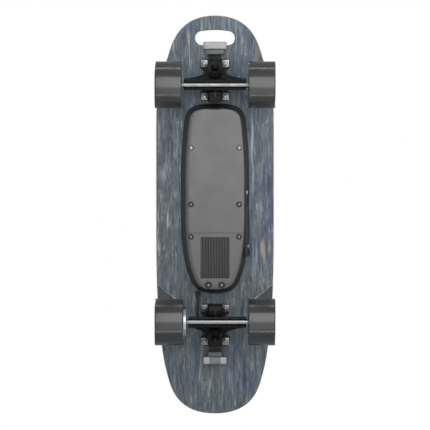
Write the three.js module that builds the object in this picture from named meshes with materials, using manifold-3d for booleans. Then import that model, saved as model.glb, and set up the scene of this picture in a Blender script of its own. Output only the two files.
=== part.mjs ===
// Electric skateboard with one hub motor, built as the real board comes apart on a bench.
// Units are millimetres and +Z is up. The nose points towards -Y and the wheels turn about X.
// The origin is on the floor, below the middle of the deck.
import * as THREE from 'three';
import { mergeVertices } from 'three/addons/utils/BufferGeometryUtils.js';
import Module from 'manifold-3d';

const wasm = await Module();
wasm.setup();

// ---------------------------------------------------------------- driving dimensions

const GAP = 0.3;                        // clearance between neighbouring pieces

const DECK_LENGTH = 770;
const DECK_WIDTH = 228;
const DECK_THICKNESS = 11.7;
const DECK_BOTTOM = 117;                // height of the flat of the underside above the floor
const DECK_TOP = DECK_BOTTOM + DECK_THICKNESS;
const FLAT_HALF_WIDTH = 70;             // the deck is flat this far to each side
const RAIL_RISE = 4;                    // and its rails curve up this much beyond
const GRIP_THICKNESS = 1;
const GRIP_MARGIN = 5;                  // bare wood left round the grip tape

// Each end of the outline: cubic curves of [distance from the centre line, distance from the tip].
const NOSE_CURVES = [
  [[0, 0], [77, 0], [86.5, 65], [92, 81]],
  [[92, 81], [115.5, 150], [114, 188], [114, 215]],
];
const TAIL_CURVES = [
  [[0, 0], [78, 0], [87, 56], [93, 78]],
  [[93, 78], [104, 118], [114, 200], [114, 340]],
];

const SLOT_HALF_WIDTH = 38;             // carrying slot through the nose
const SLOT_REAR_Y = -328;
const SLOT_HEIGHT = 26.5;
const SLOT_CORNER = 13;
const SLOT_ARCH = 2;

const WELL_DEPTH = 3;                   // recesses over the rear wheels
const WELL_OUTLINE = [[120, 130], [80, 162], [74, 204], [78, 236], [120, 242]];

const WHEEL_RADIUS = 45;
const WHEEL_WIDTH = 52;
const WHEEL_OUTER_X = 116;
const FRONT_AXLE_Y = -252;
const REAR_AXLE_Y = 204;

const MOTOR_WHEEL_WIDTH = 55;
const MOTOR_FLANGE_WIDTH = 5.4;
const MOTOR_FLANGE_RADIUS = 30;
const MOTOR_CAN_RADIUS = 33;

const BOLT_SPACING_X = 41.3;            // standard skateboard truck pattern
const BOLT_SPACING_Y = 63.5;
const BOLT_OUTBOARD = 8.5;              // pattern centre, outboard of the axle
const BOLT_RADIUS = 2.5;

const STEER_ANGLE = THREE.MathUtils.degToRad(40);   // steering axis above the horizontal
const RING_OUTBOARD = 20;               // centre of the hanger's ring, outboard of the axle
const RING_HEIGHT = 75;                 // and above the floor
const PIVOT_DISTANCE = 53;              // from the ring's centre down the axis to the pivot

const ENCLOSURE_TOP = 115.7;
const ENCLOSURE_BOTTOM = 82.3;          // lower rim of the tray, above the covers
const ENCLOSURE_DRAFT = 9;              // how far the side wall leans in over its height
const ENCLOSURE_WALL = 3;
const COVER_BOTTOM = 79;
const COVER_SEAM_Y = 34;
const ENCLOSURE_CURVES = [
  [[0, -215], [48, -215], [57, -205], [60, -176]],
  [[60, -176], [63, -147], [66, -115], [66, -70]],
  [[66, -70], [66, -40], [66, -20], [66, 0]],
  [[66, 0], [66, 62], [58, 108], [44, 133]],
  [[44, 133], [36, 147], [22, 152], [0, 152]],
];
const COVER_SCREWS = [[46.4, -130], [46.4, -21], [46.4, 41.5], [12.8, 135]];
const COVER_SCREW_RADIUS = 1.7;

// ---------------------------------------------------------------- materials

const finish = (color, roughness, metalness = 0) => ({ color, roughness, metalness });
const MAPLE = finish(0xd9ccb0, 0.55);
const GRIP = finish(0x17191c, 0.95);
const TRAY_PLASTIC = finish(0x1b1d1e, 0.6);
const COVER_GREY = finish(0x6f7070, 0.5);
const HEAT_SINK_GREY = finish(0x303133, 0.45, 0.6);
const RUBBER = finish(0x1c1c1d, 0.85);
const CELL_SLEEVE = finish(0x2a6f8f, 0.5);
const CIRCUIT_GREEN = finish(0x1d5a38, 0.5);
const BLACK_CASTING = finish(0x111213, 0.45, 0.5);
const STEEL = finish(0xb9bbbd, 0.3, 0.9);
const BLACK_STEEL = finish(0x1a1a1b, 0.4, 0.8);
const URETHANE = finish(0x3a3b3c, 0.35);
const BUSHING = finish(0x141516, 0.5);
const CORE_PLASTIC = finish(0x191a1b, 0.5);
const ALUMINIUM = finish(0xc3c5c8, 0.35, 0.85);
const LENS = finish(0xc9cbcc, 0.2);
const LIGHT_GREY = finish(0x5a5c5e, 0.5);

// ---------------------------------------------------------------- geometry helpers

// Welds a geometry, drops slivers of no area and turns its faces outwards.
function weld(geometry) {
  const bare = geometry.clone();
  bare.deleteAttribute('normal');
  bare.deleteAttribute('uv');
  const merged = mergeVertices(bare, 1e-3);
  const position = merged.attributes.position;
  const corner = (i) => new THREE.Vector3().fromBufferAttribute(position, i);
  const kept = [];
  let volume = 0;
  for (let i = 0; i < merged.index.count; i += 3) {
    const [a, b, c] = [0, 1, 2].map((k) => merged.index.getX(i + k));
    if (a === b || b === c || c === a) continue;
    kept.push([a, b, c]);
    volume += corner(a).dot(corner(b).cross(corner(c)));
  }
  merged.setIndex(kept.flatMap(([a, b, c]) => (volume > 0 ? [a, b, c] : [a, c, b])));
  return merged;
}

function toSolid(geometry) {
  const welded = weld(geometry);
  return new wasm.Manifold(new wasm.Mesh({
    numProp: 3,
    vertProperties: new Float32Array(welded.attributes.position.array),
    triVerts: new Uint32Array(welded.index.array),
  }));
}

function fromSolid(solid) {
  const mesh = solid.getMesh();
  const geometry = new THREE.BufferGeometry();
  geometry.setAttribute('position', new THREE.BufferAttribute(mesh.vertProperties, 3));
  geometry.setIndex(new THREE.BufferAttribute(mesh.triVerts, 1));
  return geometry;
}

const combine = (first, others, operation) =>
  fromSolid(others.reduce((sum, next) => sum[operation](toSolid(next)), toSolid(first)));
const cut = (base, ...tools) => combine(base, tools, 'subtract');
const join = (base, ...more) => combine(base, more, 'add');
const common = (base, other) => combine(base, [other], 'intersect');

const polygon = (points) => new THREE.Shape(points.map(([x, y]) => new THREE.Vector2(x, y)));

const extrude = (shape, depth, curveSegments) =>
  new THREE.ExtrudeGeometry(shape, { depth, bevelEnabled: false, steps: 1, curveSegments });

// A shape in (x, y) raised from z0 to z1.
const prismZ = (shape, z0, z1, curveSegments = 8) =>
  extrude(shape, z1 - z0, curveSegments).translate(0, 0, z0);

// A shape in (x, z) run from y0 to y1.
const prismY = (shape, y0, y1, curveSegments = 8) =>
  extrude(shape, y1 - y0, curveSegments).rotateX(Math.PI / 2).translate(0, y1, 0);

// A shape in (y, z) run from x0 to x1.
const prismX = (shape, x0, x1, curveSegments = 8) =>
  extrude(shape, x1 - x0, curveSegments)
    .applyMatrix4(new THREE.Matrix4().set(0, 0, 1, 0, 1, 0, 0, 0, 0, 1, 0, 0, 0, 0, 0, 1))
    .translate(x0, 0, 0);

function box(x0, x1, y0, y1, z0, z1) {
  const centre = [x0 + x1, y0 + y1, z0 + z1].map((sum) => sum / 2);
  return new THREE.BoxGeometry(x1 - x0, y1 - y0, z1 - z0).translate(...centre);
}

function roundedRectangle(x0, x1, y0, y1, radius) {
  const shape = new THREE.Shape();
  shape.absarc(x1 - radius, y1 - radius, radius, 0, Math.PI / 2);
  shape.absarc(x0 + radius, y1 - radius, radius, Math.PI / 2, Math.PI);
  shape.absarc(x0 + radius, y0 + radius, radius, Math.PI, 1.5 * Math.PI);
  shape.absarc(x1 - radius, y0 + radius, radius, 1.5 * Math.PI, 2 * Math.PI);
  return shape;
}

// Bodies of revolution from a profile of [radius, distance along the axis].
function turned(profile, segments) {
  const points = profile.map(([r, along]) => new THREE.Vector2(r, along));
  return new THREE.LatheGeometry(points, segments);
}
const turnedZ = (profile, segments = 10) => turned(profile, segments).rotateX(Math.PI / 2);
const turnedX = (profile, segments) => turned(profile, segments).rotateZ(-Math.PI / 2);

const rodProfile = (radius, from, to) => [[0, from], [radius, from], [radius, to], [0, to]];
const ringProfile = (inner, outer, from, to) =>
  [[inner, from], [outer, from], [outer, to], [inner, to], [inner, from]];

const rodZ = (radius, from, to, segments = 10) => turnedZ(rodProfile(radius, from, to), segments);
const rodX = (radius, from, to, segments = 12) => turnedX(rodProfile(radius, from, to), segments);

const hexagon = (acrossFlats, from, to) => rodZ(acrossFlats / Math.sqrt(3), from, to, 6);

// Points of a closed outline mirrored about the Y axis, from the curves of its +X half.
function mirroredOutline(curves, divisions) {
  const half = curves.flatMap((controls) => {
    const points = controls.map(([x, y]) => new THREE.Vector2(x, y));
    return new THREE.CubicBezierCurve(...points).getPoints(divisions).slice(1);
  });
  const start = new THREE.Vector2(...curves[0][0]);
  const right = [start, ...half];
  const left = right.slice(1, -1).reverse().map((p) => new THREE.Vector2(-p.x, p.y));
  return [...right, ...left];
}

// Moves each point of a closed anticlockwise outline inwards by a distance.
function inset(outline, distance) {
  const count = outline.length;
  return outline.map((point, i) => {
    const before = outline[(i + count - 1) % count];
    const after = outline[(i + 1) % count];
    const along = after.clone().sub(before).normalize();
    return new THREE.Vector2(point.x - along.y * distance, point.y + along.x * distance);
  });
}

// A solid between two outlines with the same number of points, at two heights.
function loft(lower, z0, upper, z1) {
  const count = lower.length;
  const ring = (outline, z) => outline.flatMap((p) => [p.x, p.y, z]);
  const positions = [...ring(lower, z0), ...ring(upper, z1)];
  const index = [];
  for (let i = 0; i < count; i += 1) {
    const next = (i + 1) % count;
    index.push(i, next, count + next, i, count + next, count + i);
  }
  for (const [a, b, c] of THREE.ShapeUtils.triangulateShape(lower, [])) index.push(a, c, b);
  for (const [a, b, c] of THREE.ShapeUtils.triangulateShape(upper, [])) {
    index.push(count + a, count + b, count + c);
  }
  const geometry = new THREE.BufferGeometry();
  geometry.setAttribute('position', new THREE.Float32BufferAttribute(positions, 3));
  geometry.setIndex(index);
  return geometry;
}

const board = new THREE.Group();

function addPiece(name, geometry, look, parent = board) {
  const mesh = new THREE.Mesh(weld(geometry), new THREE.MeshStandardMaterial(look));
  mesh.name = name;
  parent.add(mesh);
  return mesh;
}

// ---------------------------------------------------------------- deck and grip tape

function deckOutline() {
  const fromNose = NOSE_CURVES.map((curve) => curve.map(([x, d]) => [x, d - DECK_LENGTH / 2]));
  const toTail = TAIL_CURVES.map((curve) => curve.map(([x, d]) => [x, DECK_LENGTH / 2 - d]));
  const curves = [...fromNose, ...toTail.reverse().map((curve) => curve.reverse())];
  const straight = [curves[1][3], curves[2][0]];
  const side = [straight[0], straight[0], straight[1], straight[1]];
  return mirroredOutline([curves[0], curves[1], side, curves[2], curves[3]], 6);
}

// How far the deck's surfaces rise above their flat, at a distance from the centre line.
function railRise(x) {
  const beyond = Math.max(0, Math.abs(x) - FLAT_HALF_WIDTH);
  return RAIL_RISE * (beyond / (DECK_WIDTH / 2 - FLAT_HALF_WIDTH)) ** 2;
}

// A sheet of the deck's cross-section between two heights, longer and wider than the deck.
function concaveSheet(low, high) {
  const xs = [-130, -115, -103, -92, -81, -70, 70, 81, 92, 103, 115, 130];
  const above = xs.map((x) => [x, high + railRise(x)]).reverse();
  const below = xs.map((x) => [x, low + railRise(x)]);
  return prismY(polygon([...below, ...above]), -DECK_LENGTH, DECK_LENGTH);
}

function slotShape(grow = 0) {
  const halfWidth = SLOT_HALF_WIDTH + grow;
  const rear = SLOT_REAR_Y + grow;
  const front = SLOT_REAR_Y - SLOT_HEIGHT - grow;
  const corner = SLOT_CORNER + grow;
  const shape = new THREE.Shape();
  shape.moveTo(-halfWidth + corner, front);
  shape.quadraticCurveTo(0, front - 2 * SLOT_ARCH, halfWidth - corner, front);
  shape.absarc(halfWidth - corner, front + corner, corner, -Math.PI / 2, 0);
  shape.absarc(halfWidth - corner, rear - corner, corner, 0, Math.PI / 2);
  shape.absarc(-halfWidth + corner, rear - corner, corner, Math.PI / 2, Math.PI);
  shape.absarc(-halfWidth + corner, front + corner, corner, Math.PI, 1.5 * Math.PI);
  return shape;
}

const boltCentres = (patternY) => [[-1, -1], [1, -1], [-1, 1], [1, 1]].map(([sx, sy]) =>
  [sx * BOLT_SPACING_X / 2, patternY + sy * BOLT_SPACING_Y / 2]);

const BOLT_HEAD_RADIUS = 4.8;
const BOLT_CONE = 3.2;
const GRIP_TOP = DECK_TOP + GAP + GRIP_THICKNESS;

// The hole for a countersunk bolt, from above the grip tape down to a height.
function boltHole([x, y], lowest) {
  const head = BOLT_HEAD_RADIUS + GAP;
  const shank = BOLT_RADIUS + GAP;
  const profile = [[0, lowest], [shank, lowest], [shank, GRIP_TOP - BOLT_CONE - GAP],
    [head, GRIP_TOP - GAP], [head, GRIP_TOP + 8], [0, GRIP_TOP + 8]];
  return turnedZ(profile).translate(x, y, 0);
}

const ALL_BOLTS = [
  ...boltCentres(FRONT_AXLE_Y - BOLT_OUTBOARD),
  ...boltCentres(REAR_AXLE_Y + BOLT_OUTBOARD),
];

function wheelWell(side) {
  const shape = polygon(WELL_OUTLINE.map(([x, y]) => [side * x, y]));
  return common(prismZ(shape, DECK_BOTTOM - 20, DECK_BOTTOM + 20),
    concaveSheet(DECK_BOTTOM - 8, DECK_BOTTOM + WELL_DEPTH));
}

function addDeck() {
  const outline = deckOutline();
  const blank = common(prismZ(new THREE.Shape(outline), DECK_BOTTOM - 5, DECK_TOP + 10),
    concaveSheet(DECK_BOTTOM, DECK_TOP));
  const holes = ALL_BOLTS.map((centre) => boltHole(centre, DECK_BOTTOM - 5));
  const slot = prismZ(slotShape(), DECK_BOTTOM - 5, DECK_TOP + 5);
  addPiece('deck', cut(blank, slot, wheelWell(-1), wheelWell(1), ...holes), MAPLE);

  const gripOutline = new THREE.Shape(inset(outline, GRIP_MARGIN));
  const tape = common(prismZ(gripOutline, DECK_TOP - 5, GRIP_TOP + 10),
    concaveSheet(DECK_TOP + GAP, GRIP_TOP));
  const tapeSlot = prismZ(slotShape(GRIP_MARGIN / 2), DECK_TOP - 5, DECK_TOP + 5);
  const tapeHoles = ALL_BOLTS.map((centre) => boltHole(centre, DECK_TOP - 5));
  addPiece('grip_tape', cut(tape, tapeSlot, ...tapeHoles), GRIP);
}

// ---------------------------------------------------------------- trucks

// Heights, downwards from the deck.
const RISER_TOP = DECK_BOTTOM - GAP;
const RISER_BOTTOM = 111.3;
const PLATE_TOP = RISER_BOTTOM - GAP;
const PLATE_BOTTOM = 105;
const NUT_TOP = PLATE_BOTTOM - GAP;
const NUT_HEIGHT = 5;
const PLATE_HALF_WIDTH = 28;
const PLATE_HALF_LENGTH = 40.5;
const PLATE_WAIST = 15;
const TOWER_HALF_WIDTH = 12.5;
const TONGUE_HALF_WIDTH = 12.5;

const AXLE_BAR_RADIUS = 6;
const AXLE_BAR_HALF_LENGTH = 60;
const AXLE_RADIUS = 4;
const SHOULDER_RADIUS = 5.5;
const KINGPIN_RADIUS = 5;
const RING_RADIUS = 21;
const RING_HALF_THICKNESS = 4.5;
const BUSHING_LENGTH = 14;
const BUSHING_RADIUS = 13;

// Distances along the kingpin from the ring's centre, positive towards the nut.
const SEAT = RING_HALF_THICKNESS + BUSHING_LENGTH + 2 * GAP;
const WASHER_END = SEAT + 2.2;
const NUT_START = WASHER_END + GAP;
const NUT_END = NUT_START + 8;
const KINGPIN_END = NUT_END + 2;
const HEAD_SEAT = -SEAT - 11;

// A truck is built with its outboard side towards +Y and its axle above the origin.
// The steering frame sits at the ring's centre: +X across the board, +Y up the steering axis
// and -Z along the kingpin, from its head to its nut.
const steeringFrame = new THREE.Matrix4()
  .makeTranslation(0, RING_OUTBOARD, RING_HEIGHT)
  .multiply(new THREE.Matrix4().makeRotationX(STEER_ANGLE));

const inSteeringFrame = (geometry) => geometry.applyMatrix4(steeringFrame);

// A body of revolution about the kingpin, with distances counted towards the nut.
const aboutKingpin = (profile, segments = 14) =>
  inSteeringFrame(turned(profile, segments).rotateX(-Math.PI / 2));

// A body of revolution about the steering axis, with distances counted up the axis.
const aboutSteeringAxis = (profile, segments = 12) => inSteeringFrame(turned(profile, segments));

function truckBolt([x, y], look, name, parent) {
  const cone = GRIP_TOP - BOLT_CONE;
  const nutBottom = NUT_TOP - NUT_HEIGHT;
  const profile = [[0, nutBottom - 1.5], [BOLT_RADIUS, nutBottom - 1.5], [BOLT_RADIUS, cone],
    [BOLT_HEAD_RADIUS, GRIP_TOP], [0, GRIP_TOP]];
  const nut = hexagon(8, nutBottom, NUT_TOP);
  const washer = box(-6.5, 6.5, -7, 7, NUT_TOP - 1.2, NUT_TOP);
  addPiece(name, join(turnedZ(profile), nut, washer).translate(x, y, 0), look, parent);
}

// Plate with a lobe round each pair of bolts and a narrow waist between the lobes.
function plateShape(trim) {
  const [wide, long] = [PLATE_HALF_WIDTH - trim, PLATE_HALF_LENGTH - trim];
  const quarter = [[PLATE_WAIST, 14.5], [wide, 23], [wide, long - 6], [wide - 6, long]];
  const right = [...quarter.map(([x, y]) => [x, -y]).reverse(), ...quarter];
  const left = right.map(([x, y]) => [-x, y]).reverse();
  return polygon([...right, ...left].map(([x, y]) => [x, y + BOLT_OUTBOARD]));
}

// Rubber riser, with the tongue that carries the light.
function riserGeometry(tongueEnd) {
  const tongue = box(-TONGUE_HALF_WIDTH, TONGUE_HALF_WIDTH, 0, tongueEnd, RISER_BOTTOM, RISER_TOP);
  const plate = prismZ(plateShape(0), RISER_BOTTOM, RISER_TOP);
  const holes = boltCentres(BOLT_OUTBOARD).map(([x, y]) =>
    rodZ(BOLT_RADIUS + GAP, RISER_BOTTOM - 2, RISER_TOP + 2).translate(x, y, 0));
  return cut(join(plate, tongue), ...holes);
}

// Side view of the cast block below the plate: it backs the kingpin and holds the pivot cup.
const TOWER_PROFILE = [
  [39, PLATE_BOTTOM + 1], [19.2, 99.4], [-4.4, 79.6], [-14.6, 62], [-20.5, 53], [-13.8, 37],
  [-22, 30], [-31, 31], [-34, 42], [-31, PLATE_BOTTOM + 1],
];

function baseplateGeometry() {
  const plate = prismZ(plateShape(0.5), PLATE_BOTTOM, PLATE_TOP);
  const tower = prismX(polygon(TOWER_PROFILE), -TOWER_HALF_WIDTH, TOWER_HALF_WIDTH);
  const shank = aboutKingpin(rodProfile(KINGPIN_RADIUS + GAP, HEAD_SEAT - 2, 0));
  const headPocket = aboutKingpin(rodProfile(10.5, -70, HEAD_SEAT + GAP));
  const cupBore = aboutSteeringAxis(rodProfile(7.6, -PIVOT_DISTANCE - 9.3, -PIVOT_DISTANCE + 14));
  const holes = boltCentres(BOLT_OUTBOARD).map(([x, y]) =>
    rodZ(BOLT_RADIUS + GAP, PLATE_BOTTOM - 2, PLATE_TOP + 2).translate(x, y, 0));
  return cut(join(plate, tower), shank, headPocket, cupBore, ...holes);
}

// Urethane cup in the baseplate: its mouth takes the hanger's round pivot.
const pivotCupGeometry = () => aboutSteeringAxis([
  [0, -PIVOT_DISTANCE - 9], [7.3, -PIVOT_DISTANCE - 9], [7.3, -PIVOT_DISTANCE + 1],
  [5.8, -PIVOT_DISTANCE + 1], [5.8, -PIVOT_DISTANCE - 7.3], [0, -PIVOT_DISTANCE - 7.3],
]);

function kingpinGeometry() {
  const head = inSteeringFrame(hexagon(16, -HEAD_SEAT, -HEAD_SEAT + 6));
  return join(aboutKingpin(rodProfile(KINGPIN_RADIUS, HEAD_SEAT - 3, KINGPIN_END), 12), head);
}

// Locknut and its washer, which closes the stack of bushings.
function kingpinNutGeometry() {
  const washer = aboutKingpin(rodProfile(BUSHING_RADIUS + 0.5, SEAT, WASHER_END + 1));
  const nut = inSteeringFrame(hexagon(14.5, -NUT_END, -WASHER_END));
  return cut(join(washer, nut), aboutKingpin(rodProfile(KINGPIN_RADIUS + GAP, 0, 60), 12));
}

// Barrel bushing on the deck's side of the ring (-1) or a cone on the road's side (+1).
function bushingGeometry(side) {
  const near = RING_HALF_THICKNESS + GAP;
  const far = near + BUSHING_LENGTH;
  const farRadius = side < 0 ? BUSHING_RADIUS : BUSHING_RADIUS - 2.5;
  const profile = [[KINGPIN_RADIUS + GAP, near], [BUSHING_RADIUS, near],
    [BUSHING_RADIUS, near + 4], [farRadius, far], [KINGPIN_RADIUS + GAP, far],
    [KINGPIN_RADIUS + GAP, near]];
  return aboutKingpin(profile.map(([r, along]) => [r, side * along]));
}

// Cast hanger: a bar with a channel for the steel axle, a web, the ring and the pivot.
function hangerGeometry(fromX, toX) {
  const bar = prismX(polygon([
    [-10, 40], [-6.3, 38.6], [6.3, 38.6], [10, 40], [12, 62], [4, 66], [-7, 60.5], [-10, 56],
  ]), fromX, toX);
  const web = new THREE.Shape();
  web.moveTo(fromX, -27);
  web.lineTo(toX, -27);
  web.lineTo(toX, -14);
  web.quadraticCurveTo(30, -10, RING_RADIUS, 0);
  web.absarc(0, 0, RING_RADIUS, 0, Math.PI);
  web.quadraticCurveTo(-30, -10, fromX, -14);
  const plate = inSteeringFrame(prismZ(web, -RING_HALF_THICKNESS, RING_HALF_THICKNESS, 6));
  const pivot = aboutSteeringAxis([
    [0, -PIVOT_DISTANCE - 7], [3.2, -PIVOT_DISTANCE - 6], [5.2, -PIVOT_DISTANCE - 3],
    [5.5, -PIVOT_DISTANCE + 2], [6.5, -PIVOT_DISTANCE + 10], [8.5, -PIVOT_DISTANCE + 22],
    [0, -PIVOT_DISTANCE + 22],
  ], 12);
  const hole = aboutKingpin(rodProfile(8, -9, 9));
  const bore = rodX(AXLE_BAR_RADIUS + GAP, fromX - 1, toX + 1, 14).translate(0, 0, WHEEL_RADIUS);
  const channel = box(fromX - 1, toX + 1, -AXLE_BAR_RADIUS - GAP, AXLE_BAR_RADIUS + GAP,
    WHEEL_RADIUS - 15, WHEEL_RADIUS);
  return cut(join(bar, plate, pivot), hole, bore, channel);
}

const BEARING_HALF_SPAN = 15.6;         // from a wheel's middle to its bearings' outer faces
const WHEEL_CENTRE_X = WHEEL_OUTER_X - WHEEL_WIDTH / 2;
const BEARING_INNER_X = WHEEL_CENTRE_X - BEARING_HALF_SPAN;
const BEARING_OUTER_X = WHEEL_CENTRE_X + BEARING_HALF_SPAN;
const MOTOR_FACE_X = WHEEL_OUTER_X - 8;    // outer face of the motor's can
const AXLE_END = 113.4;

// Half an axle with a free wheel: bar, shoulder and thin end, out from the middle.
const freeEndProfile = () => [[AXLE_BAR_RADIUS, AXLE_BAR_HALF_LENGTH - GAP],
  [SHOULDER_RADIUS, AXLE_BAR_HALF_LENGTH - GAP], [SHOULDER_RADIUS, BEARING_INNER_X - GAP],
  [AXLE_RADIUS, BEARING_INNER_X - GAP], [AXLE_RADIUS, AXLE_END], [0, AXLE_END]];

const mirroredEnd = (profile) => profile.map(([r, x]) => [r, -x]).reverse();

const frontAxleGeometry = () =>
  turnedX([...mirroredEnd(freeEndProfile()), ...freeEndProfile()], 14)
    .translate(0, 0, WHEEL_RADIUS);

const MOTOR_BAR_END = 51;
const MOTOR_SHAFT_RADIUS = 5;
const motorEndProfile = () => [[AXLE_BAR_RADIUS, MOTOR_BAR_END],
  [MOTOR_SHAFT_RADIUS, MOTOR_BAR_END], [MOTOR_SHAFT_RADIUS, BEARING_OUTER_X],
  [AXLE_RADIUS, BEARING_OUTER_X], [AXLE_RADIUS, AXLE_END], [0, AXLE_END]];

const rearAxleGeometry = () =>
  turnedX([...mirroredEnd(motorEndProfile()), ...freeEndProfile()], 14)
    .translate(0, 0, WHEEL_RADIUS);

// Washer and locknut in one, on the thin end of an axle.
function axleNutGeometry(side, from) {
  const washer = rodZ(7, from, from + 1.3);
  const nut = hexagon(13, from + 1, AXLE_END - 0.4);
  const bore = rodZ(AXLE_RADIUS + GAP, 0, AXLE_END + 9);
  return cut(join(washer, nut), bore).rotateY(side * Math.PI / 2).translate(0, 0, WHEEL_RADIUS);
}

// The hanger of the rear truck also has the boss where the motor's cable goes in.
const CABLE_RADIUS = 3;
const HANGER_BOSS = { x: -36, y: -3, top: 69 };

function addTruck(end, axleY, outboard, boltLook, tongueEnd) {
  const truck = new THREE.Group();
  truck.position.y = axleY;
  truck.rotation.z = outboard > 0 ? 0 : Math.PI;
  board.add(truck);
  addPiece(`${end}_riser_pad`, riserGeometry(tongueEnd), RUBBER, truck);
  addPiece(`${end}_baseplate`, baseplateGeometry(), BLACK_CASTING, truck);
  addPiece(`${end}_pivot_cup`, pivotCupGeometry(), RUBBER, truck);
  addPiece(`${end}_kingpin`, kingpinGeometry(), BLACK_STEEL, truck);
  addPiece(`${end}_kingpin_nut`, kingpinNutGeometry(), BLACK_STEEL, truck);
  addPiece(`${end}_deck_side_bushing`, bushingGeometry(-1), BUSHING, truck);
  addPiece(`${end}_road_side_bushing`, bushingGeometry(1), BUSHING, truck);
  boltCentres(BOLT_OUTBOARD).forEach((centre, i) => {
    truckBolt(centre, boltLook, `${end}_truck_bolt_${i + 1}`, truck);
  });
  if (end === 'front') {
    addPiece('front_hanger', hangerGeometry(-AXLE_BAR_HALF_LENGTH, AXLE_BAR_HALF_LENGTH),
      BLACK_CASTING, truck);
    addPiece('front_axle', frontAxleGeometry(), STEEL, truck);
  } else {
    const boss = rodZ(CABLE_RADIUS + 2.5, WHEEL_RADIUS + 10, HANGER_BOSS.top)
      .translate(HANGER_BOSS.x, HANGER_BOSS.y, 0);
    addPiece('rear_hanger', join(hangerGeometry(-MOTOR_BAR_END, AXLE_BAR_HALF_LENGTH), boss),
      BLACK_CASTING, truck);
    addPiece('rear_axle', rearAxleGeometry(), STEEL, truck);
  }
  for (const [side, name] of [[-1, 'right'], [1, 'left']]) {
    const from = (end === 'rear' && side < 0 ? MOTOR_FACE_X : BEARING_OUTER_X) + GAP;
    addPiece(`${end}_${name}_axle_nut`, axleNutGeometry(side * outboard, from), STEEL, truck);
  }
}

// ---------------------------------------------------------------- wheels

const WHEEL_SEGMENTS = 28;
// The wheels' flats lie on the true radius, so that the board stands level.
const TREAD = WHEEL_RADIUS / Math.cos(Math.PI / WHEEL_SEGMENTS);
const facetTurn = Math.PI / WHEEL_SEGMENTS;

function tyreGeometry(halfWidth, boreRadius) {
  return turnedX([
    [boreRadius, -halfWidth + 8], [boreRadius + 3, -halfWidth + 1], [38, -halfWidth],
    [43.2, -halfWidth], [TREAD, -halfWidth + 2], [TREAD, halfWidth - 2],
    [43.2, halfWidth], [38, halfWidth], [boreRadius + 3, halfWidth - 1],
    [boreRadius, halfWidth - 8], [boreRadius, -halfWidth + 8],
  ], WHEEL_SEGMENTS).rotateX(facetTurn);
}

const coreGeometry = () => turnedX([
  [27, -18], [24.5, -18], [24.5, -7], [14.5, -7], [14.5, -16], [11.3, -16], [11.3, -8.3],
  [9, -8.3], [9, 8.3], [11.3, 8.3], [11.3, 16], [14.5, 16], [14.5, 7], [24.5, 7], [24.5, 18],
  [27, 18], [27, -18],
], 16);

// Two ball bearings with the spacer between them.
const bearingSetGeometry = () => turnedX([
  [AXLE_RADIUS + GAP, -BEARING_HALF_SPAN], [11, -BEARING_HALF_SPAN], [11, -8.6], [6.3, -8.6],
  [6.3, 8.6], [11, 8.6], [11, BEARING_HALF_SPAN], [AXLE_RADIUS + GAP, BEARING_HALF_SPAN],
  [AXLE_RADIUS + GAP, -BEARING_HALF_SPAN],
], 12);

// The motor's can turns with its tyre: a drum with a flange on its inner side.
function motorCanGeometry(halfWidth) {
  const innerFace = halfWidth + MOTOR_FLANGE_WIDTH;
  const bore = MOTOR_SHAFT_RADIUS + GAP;
  return turnedX([
    [bore, -halfWidth + 8], [MOTOR_CAN_RADIUS, -halfWidth + 8], [MOTOR_CAN_RADIUS, halfWidth],
    [MOTOR_FLANGE_RADIUS, halfWidth], [MOTOR_FLANGE_RADIUS, innerFace], [bore, innerFace],
    [bore, halfWidth - 2], [30, halfWidth - 4], [30, -halfWidth + 12], [bore, -halfWidth + 12],
    [bore, -halfWidth + 8],
  ], 24);
}

const motorStatorGeometry = (halfWidth) => turnedX(
  ringProfile(MOTOR_SHAFT_RADIUS + GAP, 29, -halfWidth + 14, halfWidth - 7), 16);

function addWheels() {
  const freeWheels = [['front_right', -1, FRONT_AXLE_Y], ['front_left', 1, FRONT_AXLE_Y],
    ['rear_left', 1, REAR_AXLE_Y]];
  for (const [name, side, y] of freeWheels) {
    const wheel = new THREE.Group();
    wheel.position.set(side * WHEEL_CENTRE_X, y, WHEEL_RADIUS);
    board.add(wheel);
    addPiece(`${name}_tyre`, tyreGeometry(WHEEL_WIDTH / 2, 27 + GAP), URETHANE, wheel);
    addPiece(`${name}_wheel_core`, coreGeometry(), CORE_PLASTIC, wheel);
    addPiece(`${name}_bearing_set`, bearingSetGeometry(), STEEL, wheel);
  }
  const motor = new THREE.Group();
  const halfWidth = MOTOR_WHEEL_WIDTH / 2;
  motor.position.set(-WHEEL_OUTER_X + halfWidth, REAR_AXLE_Y, WHEEL_RADIUS);
  board.add(motor);
  addPiece('motor_tyre', tyreGeometry(halfWidth, MOTOR_CAN_RADIUS + GAP), URETHANE, motor);
  addPiece('motor_can', motorCanGeometry(halfWidth), ALUMINIUM, motor);
  addPiece('motor_stator', motorStatorGeometry(halfWidth), BLACK_STEEL, motor);
}

// ---------------------------------------------------------------- enclosure

const enclosureOutline = mirroredOutline(ENCLOSURE_CURVES, 4);
const TRAY_DEPTH = ENCLOSURE_TOP - ENCLOSURE_BOTTOM;
const LEDGE_WIDTH = 7;
const LEDGE_TOP = ENCLOSURE_BOTTOM + 2.5;

// Switch panel moulded on the +X side wall, which leans outwards towards the deck.
const PANEL = { fromY: -18, toY: 80, height: 15, z: 99.5, x: 61 };
const BUTTON_Y = 60;
const SOCKET_Y = 72;
const BUTTON_RADIUS = 4.8;
const SOCKET_RADIUS = 4.5;
const BUTTON_TRAVEL = 1.2;
const wallLean = Math.atan(ENCLOSURE_DRAFT / TRAY_DEPTH);

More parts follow.
